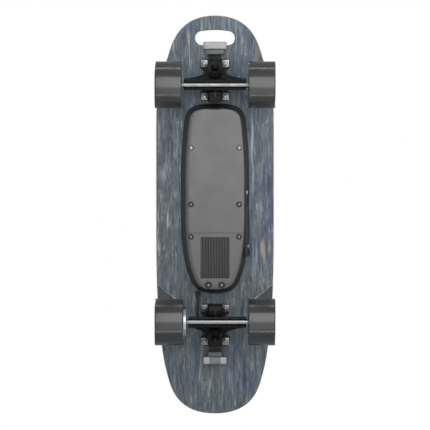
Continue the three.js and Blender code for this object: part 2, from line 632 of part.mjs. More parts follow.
// The panel's frame: +Z out of the wall, +Y along the board.
const panelFrame = new THREE.Matrix4().makeTranslation(PANEL.x, 0, PANEL.z)
  .multiply(new THREE.Matrix4().makeRotationY(Math.PI / 2 + wallLean));
const inPanel = (geometry, y = 0) => geometry.translate(0, y, 0).applyMatrix4(panelFrame);
const PANEL_FACE = 3.4;                 // the panel's outer face, from the frame's origin

function trayGeometry() {
  const foot = inset(enclosureOutline, ENCLOSURE_DRAFT);
  const shell = loft(foot, ENCLOSURE_BOTTOM, enclosureOutline, ENCLOSURE_TOP);
  const panelShape = roundedRectangle(-PANEL.height / 2, PANEL.height / 2,
    PANEL.fromY, PANEL.toY, 5);
  const panel = inPanel(prismZ(panelShape, -3, PANEL_FACE, 3));
  const cableBoss = new THREE.CylinderGeometry(5.5, 5.5, 14, 12).translate(-33, 141, 104);
  const inner = inset(enclosureOutline, ENCLOSURE_DRAFT + ENCLOSURE_WALL);
  const hollow = loft(inner, LEDGE_TOP, inset(enclosureOutline, ENCLOSURE_WALL),
    ENCLOSURE_TOP + GAP);
  const mouth = inset(enclosureOutline, ENCLOSURE_DRAFT + LEDGE_WIDTH);
  const opening = prismZ(new THREE.Shape(mouth), ENCLOSURE_BOTTOM - 1, LEDGE_TOP + 1);
  const hollowed = cut(join(shell, panel, cableBoss), hollow, opening);
  const rib = box(-54, 54, COVER_SEAM_Y - 3, COVER_SEAM_Y + 3, ENCLOSURE_BOTTOM, 110);
  const bosses = COVER_SCREWS.flatMap(([x, y]) => [-1, 1].map((side) =>
    rodZ(5, ENCLOSURE_BOTTOM, LEDGE_TOP + 5, 10).translate(side * x, y, 0)));
  const screwHoles = COVER_SCREWS.flatMap(([x, y]) => [-1, 1].map((side) =>
    rodZ(COVER_SCREW_RADIUS - 0.3, ENCLOSURE_BOTTOM - 1, LEDGE_TOP + 3, 8)
      .translate(side * x, y, 0)));
  const button = inPanel(rodZ(BUTTON_RADIUS + GAP, -9, 9, 16), BUTTON_Y);
  const socket = inPanel(rodZ(SOCKET_RADIUS + GAP, -12, 9, 16), SOCKET_Y);
  return cut(join(hollowed, rib, ...bosses), button, socket, ...screwHoles);
}

function gasketGeometry() {
  const [low, high] = [ENCLOSURE_TOP + GAP, DECK_BOTTOM - GAP];
  const outer = prismZ(new THREE.Shape(inset(enclosureOutline, 0.5)), low, high);
  const inner = prismZ(new THREE.Shape(inset(enclosureOutline, 3)), low - 1, high + 1);
  return cut(outer, inner);
}

const HEAT_SINK = { halfWidth: 27.5, fromY: 42.5, toY: 121, fins: 11, finWidth: 2.4 };

const coverBlank = () => prismZ(new THREE.Shape(inset(enclosureOutline, ENCLOSURE_DRAFT)),
  COVER_BOTTOM, ENCLOSURE_BOTTOM - GAP);

const screwHolesThrough = (screws) => screws.flatMap(([x, y]) => [-1, 1].map((side) =>
  rodZ(COVER_SCREW_RADIUS, COVER_BOTTOM - 1, ENCLOSURE_BOTTOM + 1, 8).translate(side * x, y, 0)));

function addCovers() {
  const beyondSeam = box(-80, 80, COVER_SEAM_Y - GAP, 200, COVER_BOTTOM - 1, ENCLOSURE_BOTTOM);
  const beforeSeam = box(-80, 80, -240, COVER_SEAM_Y + GAP, COVER_BOTTOM - 1, ENCLOSURE_BOTTOM);
  addPiece('battery_cover',
    cut(coverBlank(), beyondSeam, ...screwHolesThrough(COVER_SCREWS.slice(0, 2))), COVER_GREY);
  const window = prismZ(roundedRectangle(-HEAT_SINK.halfWidth - GAP, HEAT_SINK.halfWidth + GAP,
    HEAT_SINK.fromY - GAP, HEAT_SINK.toY + GAP, 0.5), COVER_BOTTOM - 1, ENCLOSURE_BOTTOM, 1);
  addPiece('controller_cover',
    cut(coverBlank(), beforeSeam, window, ...screwHolesThrough(COVER_SCREWS.slice(2))),
    COVER_GREY);
}

function heatSinkGeometry() {
  const { halfWidth, fromY, toY, fins, finWidth } = HEAT_SINK;
  const base = box(-halfWidth - 2, halfWidth + 2, fromY - 2, toY, ENCLOSURE_BOTTOM, 86);
  const pitch = (2 * (halfWidth - GAP) - finWidth) / (fins - 1);
  const rows = Array.from({ length: fins }, (_, i) => {
    const x = -halfWidth + GAP + i * pitch;
    return box(x, x + finWidth, fromY, toY, COVER_BOTTOM + 0.4, ENCLOSURE_BOTTOM + 1);
  });
  return join(base, ...rows);
}

// Ten cells in two rows of five, lying along the board, in three holders.
const CELL = { radius: 10.5, pitch: 21.4, length: 70, middleY: -69, z: 103 };

function batteryGeometry() {
  const { radius, pitch, length, middleY, z } = CELL;
  const cells = [-2, -1, 0, 1, 2].flatMap((column) => [-1, 1].map((row) =>
    new THREE.CylinderGeometry(radius, radius, length, 8)
      .translate(column * pitch, middleY + row * (length / 2 + 0.5), z)));
  const holders = [-1, 0, 1].map((row) => {
    const y = middleY + row * (length - 3);
    return box(-53.3, 53.3, y - 3, y + 3, z - 8.5, z + 10.8);
  });
  return join(...holders, ...cells);
}

function addElectronics() {
  addPiece('battery_pack', batteryGeometry(), CELL_SLEEVE);
  addPiece('battery_management_board', join(box(-40, 40, -188, -148, 104, 105.6),
    box(-32, 32, -180, -166, 105, 110)), CIRCUIT_GREEN);
  addPiece('motor_controller', join(box(-37, 37, 42, 118, 92, 93.6),
    box(-26, 26, 50, 96, 86.3, 92.5), box(-30, 30, 98, 114, 93, 104)), CIRCUIT_GREEN);
}

function addPanelPieces() {
  const stem = rodZ(2, -9, -5, 10);
  const button = join(rodZ(BUTTON_RADIUS, -5.5, PANEL_FACE + 1.6, 16), stem);
  addPiece('power_button', inPanel(button, BUTTON_Y), ALUMINIUM);
  const socket = cut(rodZ(SOCKET_RADIUS, -11, PANEL_FACE - 0.4, 16), rodZ(3, -8, 9, 12));
  addPiece('charge_socket', inPanel(socket, SOCKET_Y), BLACK_STEEL);
  const [low, high] = [PANEL_FACE + GAP, PANEL_FACE + 2];
  const tab = box(-2.5, 2.5, 0, 7, low, high - 0.3);
  const cap = join(rodZ(5.8, low, high, 16), rodZ(2.2, PANEL_FACE - 1.5, low + 1), tab);
  addPiece('charge_cap', inPanel(cap, SOCKET_Y), RUBBER);
}

function addEnclosure() {
  addPiece('enclosure_tray', trayGeometry(), TRAY_PLASTIC);
  addPiece('enclosure_gasket', gasketGeometry(), RUBBER);
  addCovers();
  addPiece('heat_sink', heatSinkGeometry(), HEAT_SINK_GREY);
  addElectronics();
  addPanelPieces();
}

// ---------------------------------------------------------------- lights and motor cable

const LIGHT_TOP = RISER_BOTTOM - GAP;
const LIGHT_BOTTOM = 94;

// A housing under the riser's tongue with a broad lens at its outboard end.
function addLight(end, axleY, outboard, housingFrom, housingHalfWidth, lensFrom, lensTo) {
  const light = new THREE.Group();
  light.position.y = axleY;
  light.rotation.z = outboard > 0 ? 0 : Math.PI;
  board.add(light);
  const housing = prismZ(roundedRectangle(-housingHalfWidth, housingHalfWidth, housingFrom,
    lensFrom - GAP, 2), LIGHT_BOTTOM + 1, LIGHT_TOP, 3);
  const lens = prismX(roundedRectangle(lensFrom, lensTo, LIGHT_BOTTOM, LIGHT_TOP, 3),
    -22.7, 22.7, 3);
  addPiece(`${end}_light_housing`, housing, LIGHT_GREY, light);
  addPiece(`${end}_light_lens`, lens, LENS, light);
}

// From the tray's rear boss, along the deck and down into the boss on the rear hanger.
function motorCableGeometry() {
  const end = { x: HANGER_BOSS.x, y: REAR_AXLE_Y + HANGER_BOSS.y };
  const route = new THREE.CatmullRomCurve3([
    [-33, 148.3, 104], [-33, 156, 104], [-33, 168, 103.5], [-33.5, 181, 101],
    [-34.5, 193, 94], [-35.5, end.y - 1, 85], [end.x, end.y, 76], [end.x, end.y, HANGER_BOSS.top + GAP],
  ].map((point) => new THREE.Vector3(...point)));
  const section = new THREE.Shape().absarc(0, 0, CABLE_RADIUS, 0, 2 * Math.PI);
  return new THREE.ExtrudeGeometry(section,
    { extrudePath: route, steps: 16, curveSegments: 4, bevelEnabled: false });
}

addDeck();
addTruck('front', FRONT_AXLE_Y, -1, STEEL, 66);
addTruck('rear', REAR_AXLE_Y, 1, BLACK_STEEL, 68);
addWheels();
addEnclosure();
addLight('front', FRONT_AXLE_Y, -1, 57.8, 18, 67.6, 82.5);
addLight('rear', REAR_AXLE_Y, 1, 60.6, 13.5, 70, 84);
addPiece('motor_cable', motorCableGeometry(), RUBBER);

export default board;
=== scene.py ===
"""Electric skateboard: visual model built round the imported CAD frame. Metres, +Z up, nose to -Y."""
import math

import bmesh
import bpy
from mathutils import Matrix, Vector
from mathutils.geometry import tessellate_polygon


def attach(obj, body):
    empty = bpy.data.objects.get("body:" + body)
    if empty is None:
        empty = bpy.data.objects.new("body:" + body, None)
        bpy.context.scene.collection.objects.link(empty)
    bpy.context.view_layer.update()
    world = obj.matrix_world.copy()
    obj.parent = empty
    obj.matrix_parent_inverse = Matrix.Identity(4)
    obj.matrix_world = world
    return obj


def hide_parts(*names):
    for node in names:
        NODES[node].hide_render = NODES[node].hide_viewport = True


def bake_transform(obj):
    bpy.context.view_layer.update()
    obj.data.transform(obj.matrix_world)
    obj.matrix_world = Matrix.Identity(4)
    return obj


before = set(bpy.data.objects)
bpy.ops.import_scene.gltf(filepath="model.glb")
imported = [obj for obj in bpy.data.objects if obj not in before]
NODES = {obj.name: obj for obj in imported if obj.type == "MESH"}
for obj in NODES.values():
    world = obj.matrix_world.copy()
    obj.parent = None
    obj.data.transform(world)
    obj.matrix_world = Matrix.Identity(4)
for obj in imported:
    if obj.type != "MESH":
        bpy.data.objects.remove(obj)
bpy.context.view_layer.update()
MM = 0.001

# ---- driving dimensions, mm

DECK_LENGTH = 770
DECK_BOTTOM = 117
DECK_TOP = 128.7
GRIP_TOP = 130
FLAT_HALF_WIDTH = 70
DECK_HALF_WIDTH = 114
RAIL_RISE = 4
GRIP_MARGIN = 5
WHEEL_RADIUS = 45
FRONT_AXLE_Y = -252
REAR_AXLE_Y = 204
WHEEL_X = 90
MOTOR_WHEEL_X = 88.5
STEER_ANGLE = math.radians(40)
RING_OUTBOARD = 20
RING_HEIGHT = 75
COVER_BOTTOM = 79
COVER_TOP = 82
TRAY_BOTTOM = 82.3
TRAY_TOP = 115.7
TRAY_DRAFT = 9
COVER_SEAM_Y = 34
WELL_DEPTH = 3
WELL_SLOPE = 3.4
WELL_OUTLINE = [(120, 130), (80, 162), (74, 204), (78, 236), (120, 242)]
WELL_ZONE_X = (70, 110)
WELL_ZONE_Y = (127, 248)
BOLT_SPACING_X = 41.3
BOLT_SPACING_Y = 63.5
BOLTS_BEYOND_AXLE = 8.5
BOLT_HOLE_RADIUS = 2.8
KINGPIN_BORE = 5.3
AXLE_BORE = 4.3
TYRE_HALF_WIDTH = 26
CORE_RADIUS = 27.3
MOTOR_TYRE_HALF_WIDTH = 27.5
MOTOR_RADIUS = 33.3
PLATE_TOP = 111
NOSE_CURVES = [
    [(0, 0), (77, 0), (86.5, 65), (92, 81)],
    [(92, 81), (115.5, 150), (114, 188), (114, 215)],
]
TAIL_CURVES = [
    [(0, 0), (78, 0), (87, 56), (93, 78)],
    [(93, 78), (104, 118), (114, 200), (114, 340)],
]
ENCLOSURE_CURVES = [
    [(0, -215), (48, -215), (57, -205), (60, -176)],
    [(60, -176), (63, -147), (66, -115), (66, -70)],
    [(66, -70), (66, -40), (66, -20), (66, 0)],
    [(66, 0), (66, 62), (58, 108), (44, 133)],
    [(44, 133), (36, 147), (22, 152), (0, 152)],
]
COVER_SCREWS = [(46.4, -130), (46.4, -21), (46.4, 41.5), (12.8, 135)]

# ---- mesh helpers


def linked(name, data):
    obj = bpy.data.objects.new(name, data)
    bpy.context.scene.collection.objects.link(obj)
    return obj


def to_mesh(bm, name):
    """The mesh of a bmesh, which is freed."""
    mesh = bpy.data.meshes.new(name)
    bm.to_mesh(mesh)
    bm.free()
    return mesh


def to_bmesh(mesh):
    bm = bmesh.new()
    bm.from_mesh(mesh)
    return bm


def outward_mesh(bm, name):
    bmesh.ops.recalc_face_normals(bm, faces=bm.faces)
    return to_mesh(bm, name)


def add_piece(name, bm, mats, nodes=(), body="deck_unit", smooth_angle=35):
    """A finished piece: welded, facing out, smooth up to an angle, riding on its body."""
    bmesh.ops.remove_doubles(bm, verts=bm.verts, dist=1e-6)
    bmesh.ops.recalc_face_normals(bm, faces=bm.faces)
    limit = math.radians(smooth_angle)
    for face in bm.faces:
        face.smooth = True
    for edge in bm.edges:
        edge.smooth = len(edge.link_faces) == 2 and edge.calc_face_angle(0) < limit
    obj = linked(name, to_mesh(bm, name))
    for mat in mats:
        obj.data.materials.append(mat)
    if body is not None:
        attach(obj, body)
    if nodes:
        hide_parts(*nodes)
    return obj


def add_modifier(obj, kind, **settings):
    modifier = obj.modifiers.new(kind.lower(), kind)
    for key, value in settings.items():
        setattr(modifier, key, value)


def applied(holder):
    """The mesh of an object with its modifiers applied; the object is removed."""
    bpy.context.view_layer.update()
    depsgraph = bpy.context.evaluated_depsgraph_get()
    result = bpy.data.meshes.new_from_object(holder.evaluated_get(depsgraph))
    bpy.data.objects.remove(holder)
    return result


def bevel(bm, width, segments=2, angle=40, pick=None):
    """Rounds the edges sharper than an angle."""
    limit = math.radians(angle)
    edges = [e for e in bm.edges if len(e.link_faces) == 2 and e.calc_face_angle(0) > limit]
    if pick is not None:
        edges = [e for e in edges if pick(e)]
    bmesh.ops.bevel(bm, geom=edges, offset=width * MM, segments=segments, profile=0.5,
                    affect="EDGES", clamp_overlap=False)


def prism(outlines, z0, z1):
    """A solid from an outline and its holes, in mm, between two heights."""
    bm = bmesh.new()
    loops = [[Vector((x, y, 0)) for x, y in outline] for outline in outlines]
    flat = [p for loop in loops for p in loop]
    low, high = ([bm.verts.new((p.x * MM, p.y * MM, z * MM)) for p in flat] for z in (z0, z1))
    for a, b, c in tessellate_polygon(loops):
        for layer in (low, high):
            try:
                bm.faces.new((layer[a], layer[b], layer[c]))
            except ValueError:
                continue
    first = 0
    for loop in loops:
        count = len(loop)
        for i in range(count):
            j = first + (i + 1) % count
            bm.faces.new((low[first + i], low[j], high[j], high[first + i]))
        first += count
    bmesh.ops.recalc_face_normals(bm, faces=bm.faces)
    bmesh.ops.dissolve_limit(bm, angle_limit=math.radians(0.5), verts=[], edges=bm.edges)
    return bm


def block(x0, x1, y0, y1, z0, z1, round_off, segments=4):
    bm = prism([[(x0, y0), (x1, y0), (x1, y1), (x0, y1)]], z0, z1)
    if round_off:
        bevel(bm, round_off, segments, 60)
    return bm


def bridge(bm, rings, closed=False):
    """Faces between rings of vertices. A ring may be a single vertex."""
    pairs = list(zip(rings, rings[1:]))
    if closed:
        pairs.append((rings[-1], rings[0]))
    count = max(len(ring) for ring in rings)
    for a, b in pairs:
        for i in range(count):
            j = (i + 1) % count
            corners = [a[i % len(a)], a[j % len(a)], b[j % len(b)], b[i % len(b)]]
            unique = list(dict.fromkeys(corners))
            if len(unique) > 2:
                bm.faces.new(unique)


def lathe(profile, segments=64, closed=False):
    """A body of revolution about Z from (radius, height) points in mm."""
    bm = bmesh.new()
    rings = []
    for r, z in profile:
        turn = circle(0, 0, r, segments) if r > 1e-6 else [(0, 0)]
        rings.append([bm.verts.new((x * MM, y * MM, z * MM)) for x, y in turn])
    bridge(bm, rings, closed)
    return bm


def rod(radius, z0, z1, segments=32):
    return lathe([(0, z0), (radius, z0), (radius, z1), (0, z1)], segments)


def rounded(profile, radius, steps=4, closed=False):
    """A profile with its corners rounded off by arcs."""
    count = len(profile)
    result = []
    for i, here in enumerate(profile):
        if not closed and i in (0, count - 1):
            result.append(here)
            continue
        p = Vector(here)
        before = Vector(profile[i - 1]) - p
        after = Vector(profile[(i + 1) % count]) - p
        reach = min(radius, before.length * 0.45, after.length * 0.45)
        a = p + before.normalized() * reach
        b = p + after.normalized() * reach
        for k in range(steps + 1):
            t = k / steps
            q = a * (1 - t) ** 2 + p * 2 * t * (1 - t) + b * t * t
            result.append((q.x, q.y))
    return result


def turned(profile, radius, steps, segments):
    """A ring about Z from a closed (radius, height) profile with its corners rounded."""
    return lathe(rounded(profile, radius, steps, closed=True), segments, closed=True)


def bezier(controls, divisions):
    """Points along a Bezier curve in a plane, without its start."""
    order = len(controls) - 1
    points = []
    for k in range(1, divisions + 1):
        t = k / divisions
        w = [math.comb(order, i) * (1 - t) ** (order - i) * t ** i for i in range(order + 1)]
        points.append(tuple(sum(wi * c[n] for wi, c in zip(w, controls)) for n in (0, 1)))
    return points


def mirrored_outline(curves, divisions):
    right = [tuple(curves[0][0])]
    for controls in curves:
        right += bezier(controls, divisions)
    return right + [(-x, y) for x, y in reversed(right[1:-1])]


def inset(outline, distance):
    count = len(outline)
    result = []
    for i, (x, y) in enumerate(outline):
        bx, by = outline[i - 1]
        ax, ay = outline[(i + 1) % count]
        length = math.hypot(ax - bx, ay - by)
        result.append((x - (ay - by) / length * distance, y + (ax - bx) / length * distance))
    return result


def circle(x, y, radius, steps=24):
    return [(x + radius * math.cos(2 * math.pi * k / steps),
             y + radius * math.sin(2 * math.pi * k / steps)) for k in range(steps)]


def rounded_rectangle(x0, x1, y0, y1, radius, steps=6):
    points = []
    corners = [(x1, y1, 0), (x0, y1, 1), (x0, y0, 2), (x1, y0, 3)]
    for x, y, quarter in corners:
        cx = x - radius if x == x1 else x + radius
        cy = y - radius if y == y1 else y + radius
        for k in range(steps + 1):
            a = math.pi / 2 * (quarter + k / steps)
            points.append((cx + radius * math.cos(a), cy + radius * math.sin(a)))
    return points


def loft(rings, closed=True):
    """A skin through rings of (outline, height) in mm: a closed loop of rings, or capped ends."""
    bm = bmesh.new()
    made = [[bm.verts.new((x * MM, y * MM, z * MM)) for x, y in outline] for outline, z in rings]
    if not closed:
        bm.faces.new(made[0])
        bm.faces.new(made[-1])
    bridge(bm, made, closed)
    return bm


def moved(bm, matrix):
    bmesh.ops.transform(bm, matrix=matrix, verts=bm.verts)
    return bm


def merged(*parts):
    """Several bmeshes as one."""
    whole = bmesh.new()
    for part in parts:
        mesh = to_mesh(part, "part")
        whole.from_mesh(mesh)
        bpy.data.meshes.remove(mesh)
    return whole


def carved(bm, tools, operation="DIFFERENCE"):
    """A bmesh after boolean operations with other bmeshes."""
    mesh = outward_mesh(bm, "base")
    for tool in tools:
        holder = linked("holder", mesh)
        tool_object = linked("tool", outward_mesh(tool, "tool"))
        add_modifier(holder, "BOOLEAN", operation=operation, object=tool_object, solver="EXACT")
        mesh = applied(holder)
        bpy.data.objects.remove(tool_object)
    return to_bmesh(mesh)


def at(x=0, y=0, z=0):
    return Matrix.Translation((x * MM, y * MM, z * MM))


ALONG_X = Matrix.Rotation(math.pi / 2, 4, "Y")
ALONG_MINUS_X = Matrix.Rotation(-math.pi / 2, 4, "Y")

# ---- materials


def add_node(tree, kind, inputs=(), **settings):
    """A node with its settings, and each input given a value or linked to a socket."""
    node = tree.nodes.new(kind)
    for key, value in settings.items():
        setattr(node, key, value)
    for key, value in dict(inputs).items():
        if isinstance(value, bpy.types.NodeSocket):
            tree.links.new(value, node.inputs[key])
        else:
            node.inputs[key].default_value = value
    return node


class Nodes:
    """Shorthand for one material's node tree."""

    def __init__(self, name, **constants):
        self.material = bpy.data.materials.new(name)
        self.material.use_nodes = True
        self.tree = self.material.node_tree
        self.shader = self.tree.nodes["Principled BSDF"]
        self.coordinates = self.add("ShaderNodeTexCoord").outputs["Object"]
        for socket, value in constants.items():
            self.shader.inputs[socket.replace("_", " ")].default_value = value

    def add(self, kind, inputs=(), **settings):
        return add_node(self.tree, kind, inputs, **settings)

    def link(self, source, target):
        self.tree.links.new(source, target)

    def stretched(self, scale):
        inputs = {"Scale": scale, "Vector": self.coordinates}
        return self.add("ShaderNodeMapping", inputs).outputs["Vector"]

    def noise(self, scale, stretch=(1, 1, 1), detail=4, roughness=0.55, distortion=0):
        inputs = {"Scale": scale, "Detail": detail, "Roughness": roughness,
                  "Distortion": distortion, "Vector": self.stretched(stretch)}
        return self.add("ShaderNodeTexNoise", inputs).outputs["Fac"]

    def voronoi(self, scale, output="Distance"):
        inputs = {"Scale": scale, "Vector": self.stretched((1, 1, 1))}
        return self.add("ShaderNodeTexVoronoi", inputs).outputs[output]

    def ramp(self, factor, stops):
        node = self.add("ShaderNodeValToRGB", {"Fac": factor})
        ramp = node.color_ramp
        while len(ramp.elements) < len(stops):
            ramp.elements.new(0.5)
        for element, (position, colour) in zip(ramp.elements, stops):
            element.position = position
            element.color = (*colour, 1)
        return node.outputs["Color"]

    def mix(self, factor, a, b, blend="MIX"):
        a, b = ((*c, 1) if isinstance(c, tuple) else c for c in (a, b))
        inputs = {0: factor, 6: a, 7: b}
        node = self.add("ShaderNodeMix", inputs, data_type="RGBA", blend_type=blend)
        return node.outputs[2]

    def spread(self, factor, low, high, at_low=0.0, at_high=1.0):
        inputs = {"Value": factor, "From Min": at_low, "From Max": at_high, "To Min": low,
                  "To Max": high}
        return self.add("ShaderNodeMapRange", inputs).outputs["Result"]

    def patch(self, place, reach):
        """A ragged soft spot: 1 at its middle, 0 outside its reach, in mm."""
        ragged, edge = 0.008, 0.45
        inputs = {"Scale": 60, "Vector": self.stretched((1, 0.25, 1))}
        wobble = self.add("ShaderNodeTexNoise", inputs).outputs["Color"]
        inputs = {0: wobble, 1: (ragged, 0, 0), 2: self.coordinates}
        shift = self.add("ShaderNodeVectorMath", inputs, operation="MULTIPLY_ADD")
        inputs = {"Location": (place[0] * MM + ragged / 2, place[1] * MM, 0),
                  "Scale": (reach[0] * MM, reach[1] * MM, 1), "Vector": shift.outputs["Vector"]}
        local = self.add("ShaderNodeMapping", inputs, vector_type="TEXTURE")
        ball = self.add("ShaderNodeTexGradient", {"Vector": local.outputs["Vector"]},
                        gradient_type="SPHERICAL")
        return self.spread(ball.outputs["Fac"], 0, 1, 0.0, edge)

    def colour(self, source):
        self.link(source, self.shader.inputs["Base Color"])

    def roughness(self, factor, low, high):
        self.link(self.spread(factor, low, high, 0.3, 0.7), self.shader.inputs["Roughness"])

    def bump(self, height, distance, strength=1.0, below=None):
        inputs = {"Distance": distance, "Strength": strength, "Height": height}
        if below is not None:
            inputs["Normal"] = below
        normal = self.add("ShaderNodeBump", inputs).outputs["Normal"]
        self.link(normal, self.shader.inputs["Normal"])
        return normal


def scaled(colour, factor):
    return tuple(min(1.0, c * factor) for c in colour)


def moulded(name, colour, rough=0.5, grain=2600, depth=0.00004, variation=0.16, metallic=0,
            **constants):
    """Moulded, cast or painted finish: fine grain, soft mottling and small scuffs."""
    n = Nodes(name, Metallic=metallic, **constants)
    mottling = n.noise(26, detail=5)
    scuffs = n.noise(420, (1, 0.12, 1), detail=3, roughness=0.7)
    base = n.ramp(mottling, [(0.3, scaled(colour, 1 - variation)),
                             (0.7, scaled(colour, 1 + variation))])
    marks = n.ramp(scuffs, [(0.62, (0, 0, 0)), (0.78, (1, 1, 1))])
    n.colour(n.mix(n.spread(marks, 0, 0.35), base, scaled(colour, 1.6)))
    n.roughness(mottling, rough - 0.06, rough + 0.08)
    n.bump(n.noise(grain, detail=2), depth, 0.5)
    return n.material


def machined(name, colour, rough=0.28, stretch=(1, 0.04, 1), **constants):
    """Metal with fine drawn or turned lines."""
    n = Nodes(name, Metallic=1, **constants)
    lines = n.noise(2400, stretch, detail=3, roughness=0.7)
    tarnish = n.noise(60, detail=5)
    base = n.ramp(lines, [(0.3, scaled(colour, 0.82)), (0.7, scaled(colour, 1.1))])
    n.colour(n.mix(n.spread(tarnish, 0, 0.35, 0.45, 0.75), base, scaled(colour, 0.62)))
    n.roughness(tarnish, rough - 0.07, rough + 0.1)
    n.bump(lines, 0.00002, 0.4)
    return n.material


def stained_veneer():
    """The underside: blue-grey stained veneer with short flecks that run along the board."""
    n = Nodes("stained_veneer", Coat_Weight=0.12, Coat_Roughness=0.3, Specular_IOR_Level=0.22)
    broad = n.noise(15, (1, 0.28, 1), detail=4, roughness=0.6, distortion=0.6)
    medium = n.noise(130, (1, 0.13, 1), detail=6, roughness=0.72, distortion=1.1)
    fine = n.noise(260, (1, 0.1, 1), detail=5, roughness=0.7, distortion=0.8)
    pores = n.noise(900, (1, 0.05, 1), detail=2, roughness=0.5)
    tone = n.ramp(broad, [(0.3, (0.08, 0.1, 0.158)), (0.42, (0.118, 0.148, 0.182)),
                          (0.52, (0.156, 0.182, 0.188)), (0.62, (0.126, 0.16, 0.196)),
                          (0.74, (0.13, 0.127, 0.174))])
    streaks = [(0.34, (0.42, 0.47, 0.56)), (0.46, (0.85, 0.87, 0.91)),
               (0.54, (1.0, 1.0, 1.0)), (0.64, (2.1, 2.0, 1.9))]
    flecks = [(0.36, (0.5, 0.54, 0.62)), (0.47, (0.97, 0.98, 0.99)),
              (0.58, (1.1, 1.09, 1.08)), (0.68, (2.6, 2.5, 2.35))]
    holes = [(0.34, (0.5, 0.55, 0.66)), (0.46, (1, 1, 1))]
    shade = tone
    for weight, noise, stops in ((0.9, medium, streaks), (0.85, fine, flecks), (0.6, pores, holes)):
        shade = n.mix(weight, shade, n.ramp(noise, stops), "MULTIPLY")
    for place, reach, colour, strength in UNDERSIDE_MARKS:
        shade = n.mix(n.spread(n.patch(place, reach), 0, strength), shade, colour)
    n.colour(shade)
    n.roughness(fine, 0.46, 0.62)
    n.bump(pores, 0.00006, 0.45, n.bump(fine, 0.00012, 0.35))
    return n.material


def well_wood():
    """Darker wood colour on the floors of the wheel wells."""
    n = Nodes("well_wood", Specular_IOR_Level=0.2)
    grain = n.noise(160, (1, 0.08, 1), detail=5)
    n.colour(n.ramp(grain, [(0.3, (0.05, 0.054, 0.058)), (0.7, (0.12, 0.122, 0.124))]))
    n.roughness(grain, 0.5, 0.65)
    n.bump(grain, 0.00008, 0.4)
    return n.material


def maple_plies():
    """Edge of the deck: plies in layers, with darker glue lines and end grain."""
    n = Nodes("maple_plies", Coat_Weight=0.2, Coat_Roughness=0.3)
    inputs = {"Scale": 190, "Distortion": 0.6, "Vector": n.stretched((0.02, 0.02, 1))}
    wave = n.add("ShaderNodeTexWave", inputs, wave_type="BANDS", bands_direction="Z")
    layers = n.ramp(wave.outputs["Fac"], [(0.1, (0.36, 0.25, 0.15)), (0.3, (0.66, 0.55, 0.4)),
                                          (0.8, (0.76, 0.66, 0.5))])
    fibre = n.noise(700, (1, 0.08, 3), detail=3)
    n.colour(n.mix(n.spread(fibre, 0, 0.5, 0.4, 0.8), layers, (0.45, 0.34, 0.22)))
    n.roughness(fibre, 0.42, 0.58)
    n.bump(fibre, 0.00006, 0.4)
    return n.material


def pale_veneer():
    """The deck's upper face, seen as a rim round the grip tape."""
    n = Nodes("pale_veneer", Coat_Weight=0.25, Coat_Roughness=0.25)
    grain = n.noise(120, (1, 0.05, 1), detail=5, distortion=0.4)
    pores = n.noise(900, (1, 0.04, 1), detail=2)
    base = n.ramp(grain, [(0.3, (0.6, 0.52, 0.4)), (0.6, (0.76, 0.7, 0.58))])
    n.colour(n.mix(n.spread(pores, 0, 0.4, 0.5, 0.8), base, (0.5, 0.4, 0.28)))
    n.roughness(grain, 0.4, 0.55)
    n.bump(pores, 0.00005, 0.4)
    return n.material


def grit():
    """Grip tape: crystals of grit in black resin, a few of them painted lighter as painted glints."""
    n = Nodes("grip_grit", Specular_IOR_Level=0.14)
    crystals = n.voronoi(1300)
    tints = n.voronoi(1300, "Color")
    patches = n.noise(14, detail=5)
    base = n.ramp(patches, [(0.3, (0.0055, 0.0062, 0.0075)), (0.7, (0.01, 0.0113, 0.0135))])
    tint = n.add("ShaderNodeSeparateColor", {"Color": tints})
    # Painted glints: a few random crystals get a lighter base colour that stands for light catching
    # them.
    painted_glints = n.ramp(tint.outputs["Red"], [(0.86, (0, 0, 0)), (0.95, (1, 1, 1))])
    n.colour(n.mix(n.spread(painted_glints, 0, 0.6), base, (0.075, 0.082, 0.092)))
    n.roughness(tint.outputs["Green"], 0.62, 0.92)
    n.bump(crystals, 0.0005, 0.9, n.bump(n.noise(420, detail=3), 0.0004, 0.5))
    return n.material


def urethane():
    """Wheel urethane: satin, with the mould's faint rings and road dust on the tread."""
    n = Nodes("urethane", Specular_IOR_Level=0.75)
    dust = n.noise(90, (0.4, 1, 1), detail=6, roughness=0.65)
    fine = n.noise(1600, detail=2)
    rings = n.noise(900, (1, 0.02, 0.02), detail=2)
    base = n.ramp(dust, [(0.35, (0.026, 0.027, 0.028)), (0.7, (0.04, 0.04, 0.041))])
    n.colour(n.mix(n.spread(rings, 0, 0.25, 0.45, 0.7), base, (0.055, 0.055, 0.055)))
    n.roughness(dust, 0.16, 0.24)
    n.bump(fine, 0.00003, 0.4, n.bump(rings, 0.00004, 0.35))
    return n.material


def frosted_lens(name, bright):
    """Light lens: frosted, with a grid of moulded optics showing through."""
    n = Nodes(name, Coat_Weight=0.6, Coat_Roughness=0.06, Specular_IOR_Level=0.5)
    cells = n.voronoi(240)
    cloud = n.noise(130, detail=3)
    base = n.ramp(cells, [(0.15, (bright, bright, bright * 1.03)),
                          (0.6, scaled((bright, bright, bright * 1.04), 0.7))])
    n.colour(n.mix(n.spread(cloud, 0, 0.4), base, (0.8 * bright, 0.8 * bright, 0.84 * bright)))
    n.roughness(cloud, 0.16, 0.28)
    n.bump(cells, 0.0002, 0.35)
    return n.material


def glowing(name, colour, strength):
    n = Nodes(name, Coat_Weight=0.5, Emission_Strength=strength)
    cloud = n.noise(900, detail=2)
    tone = n.ramp(cloud, [(0.3, scaled(colour, 0.8)), (0.7, colour)])
    n.colour(tone)
    n.link(tone, n.shader.inputs["Emission Color"])
    n.roughness(cloud, 0.2, 0.3)
    n.bump(cloud, 0.00003, 0.3)
    return n.material
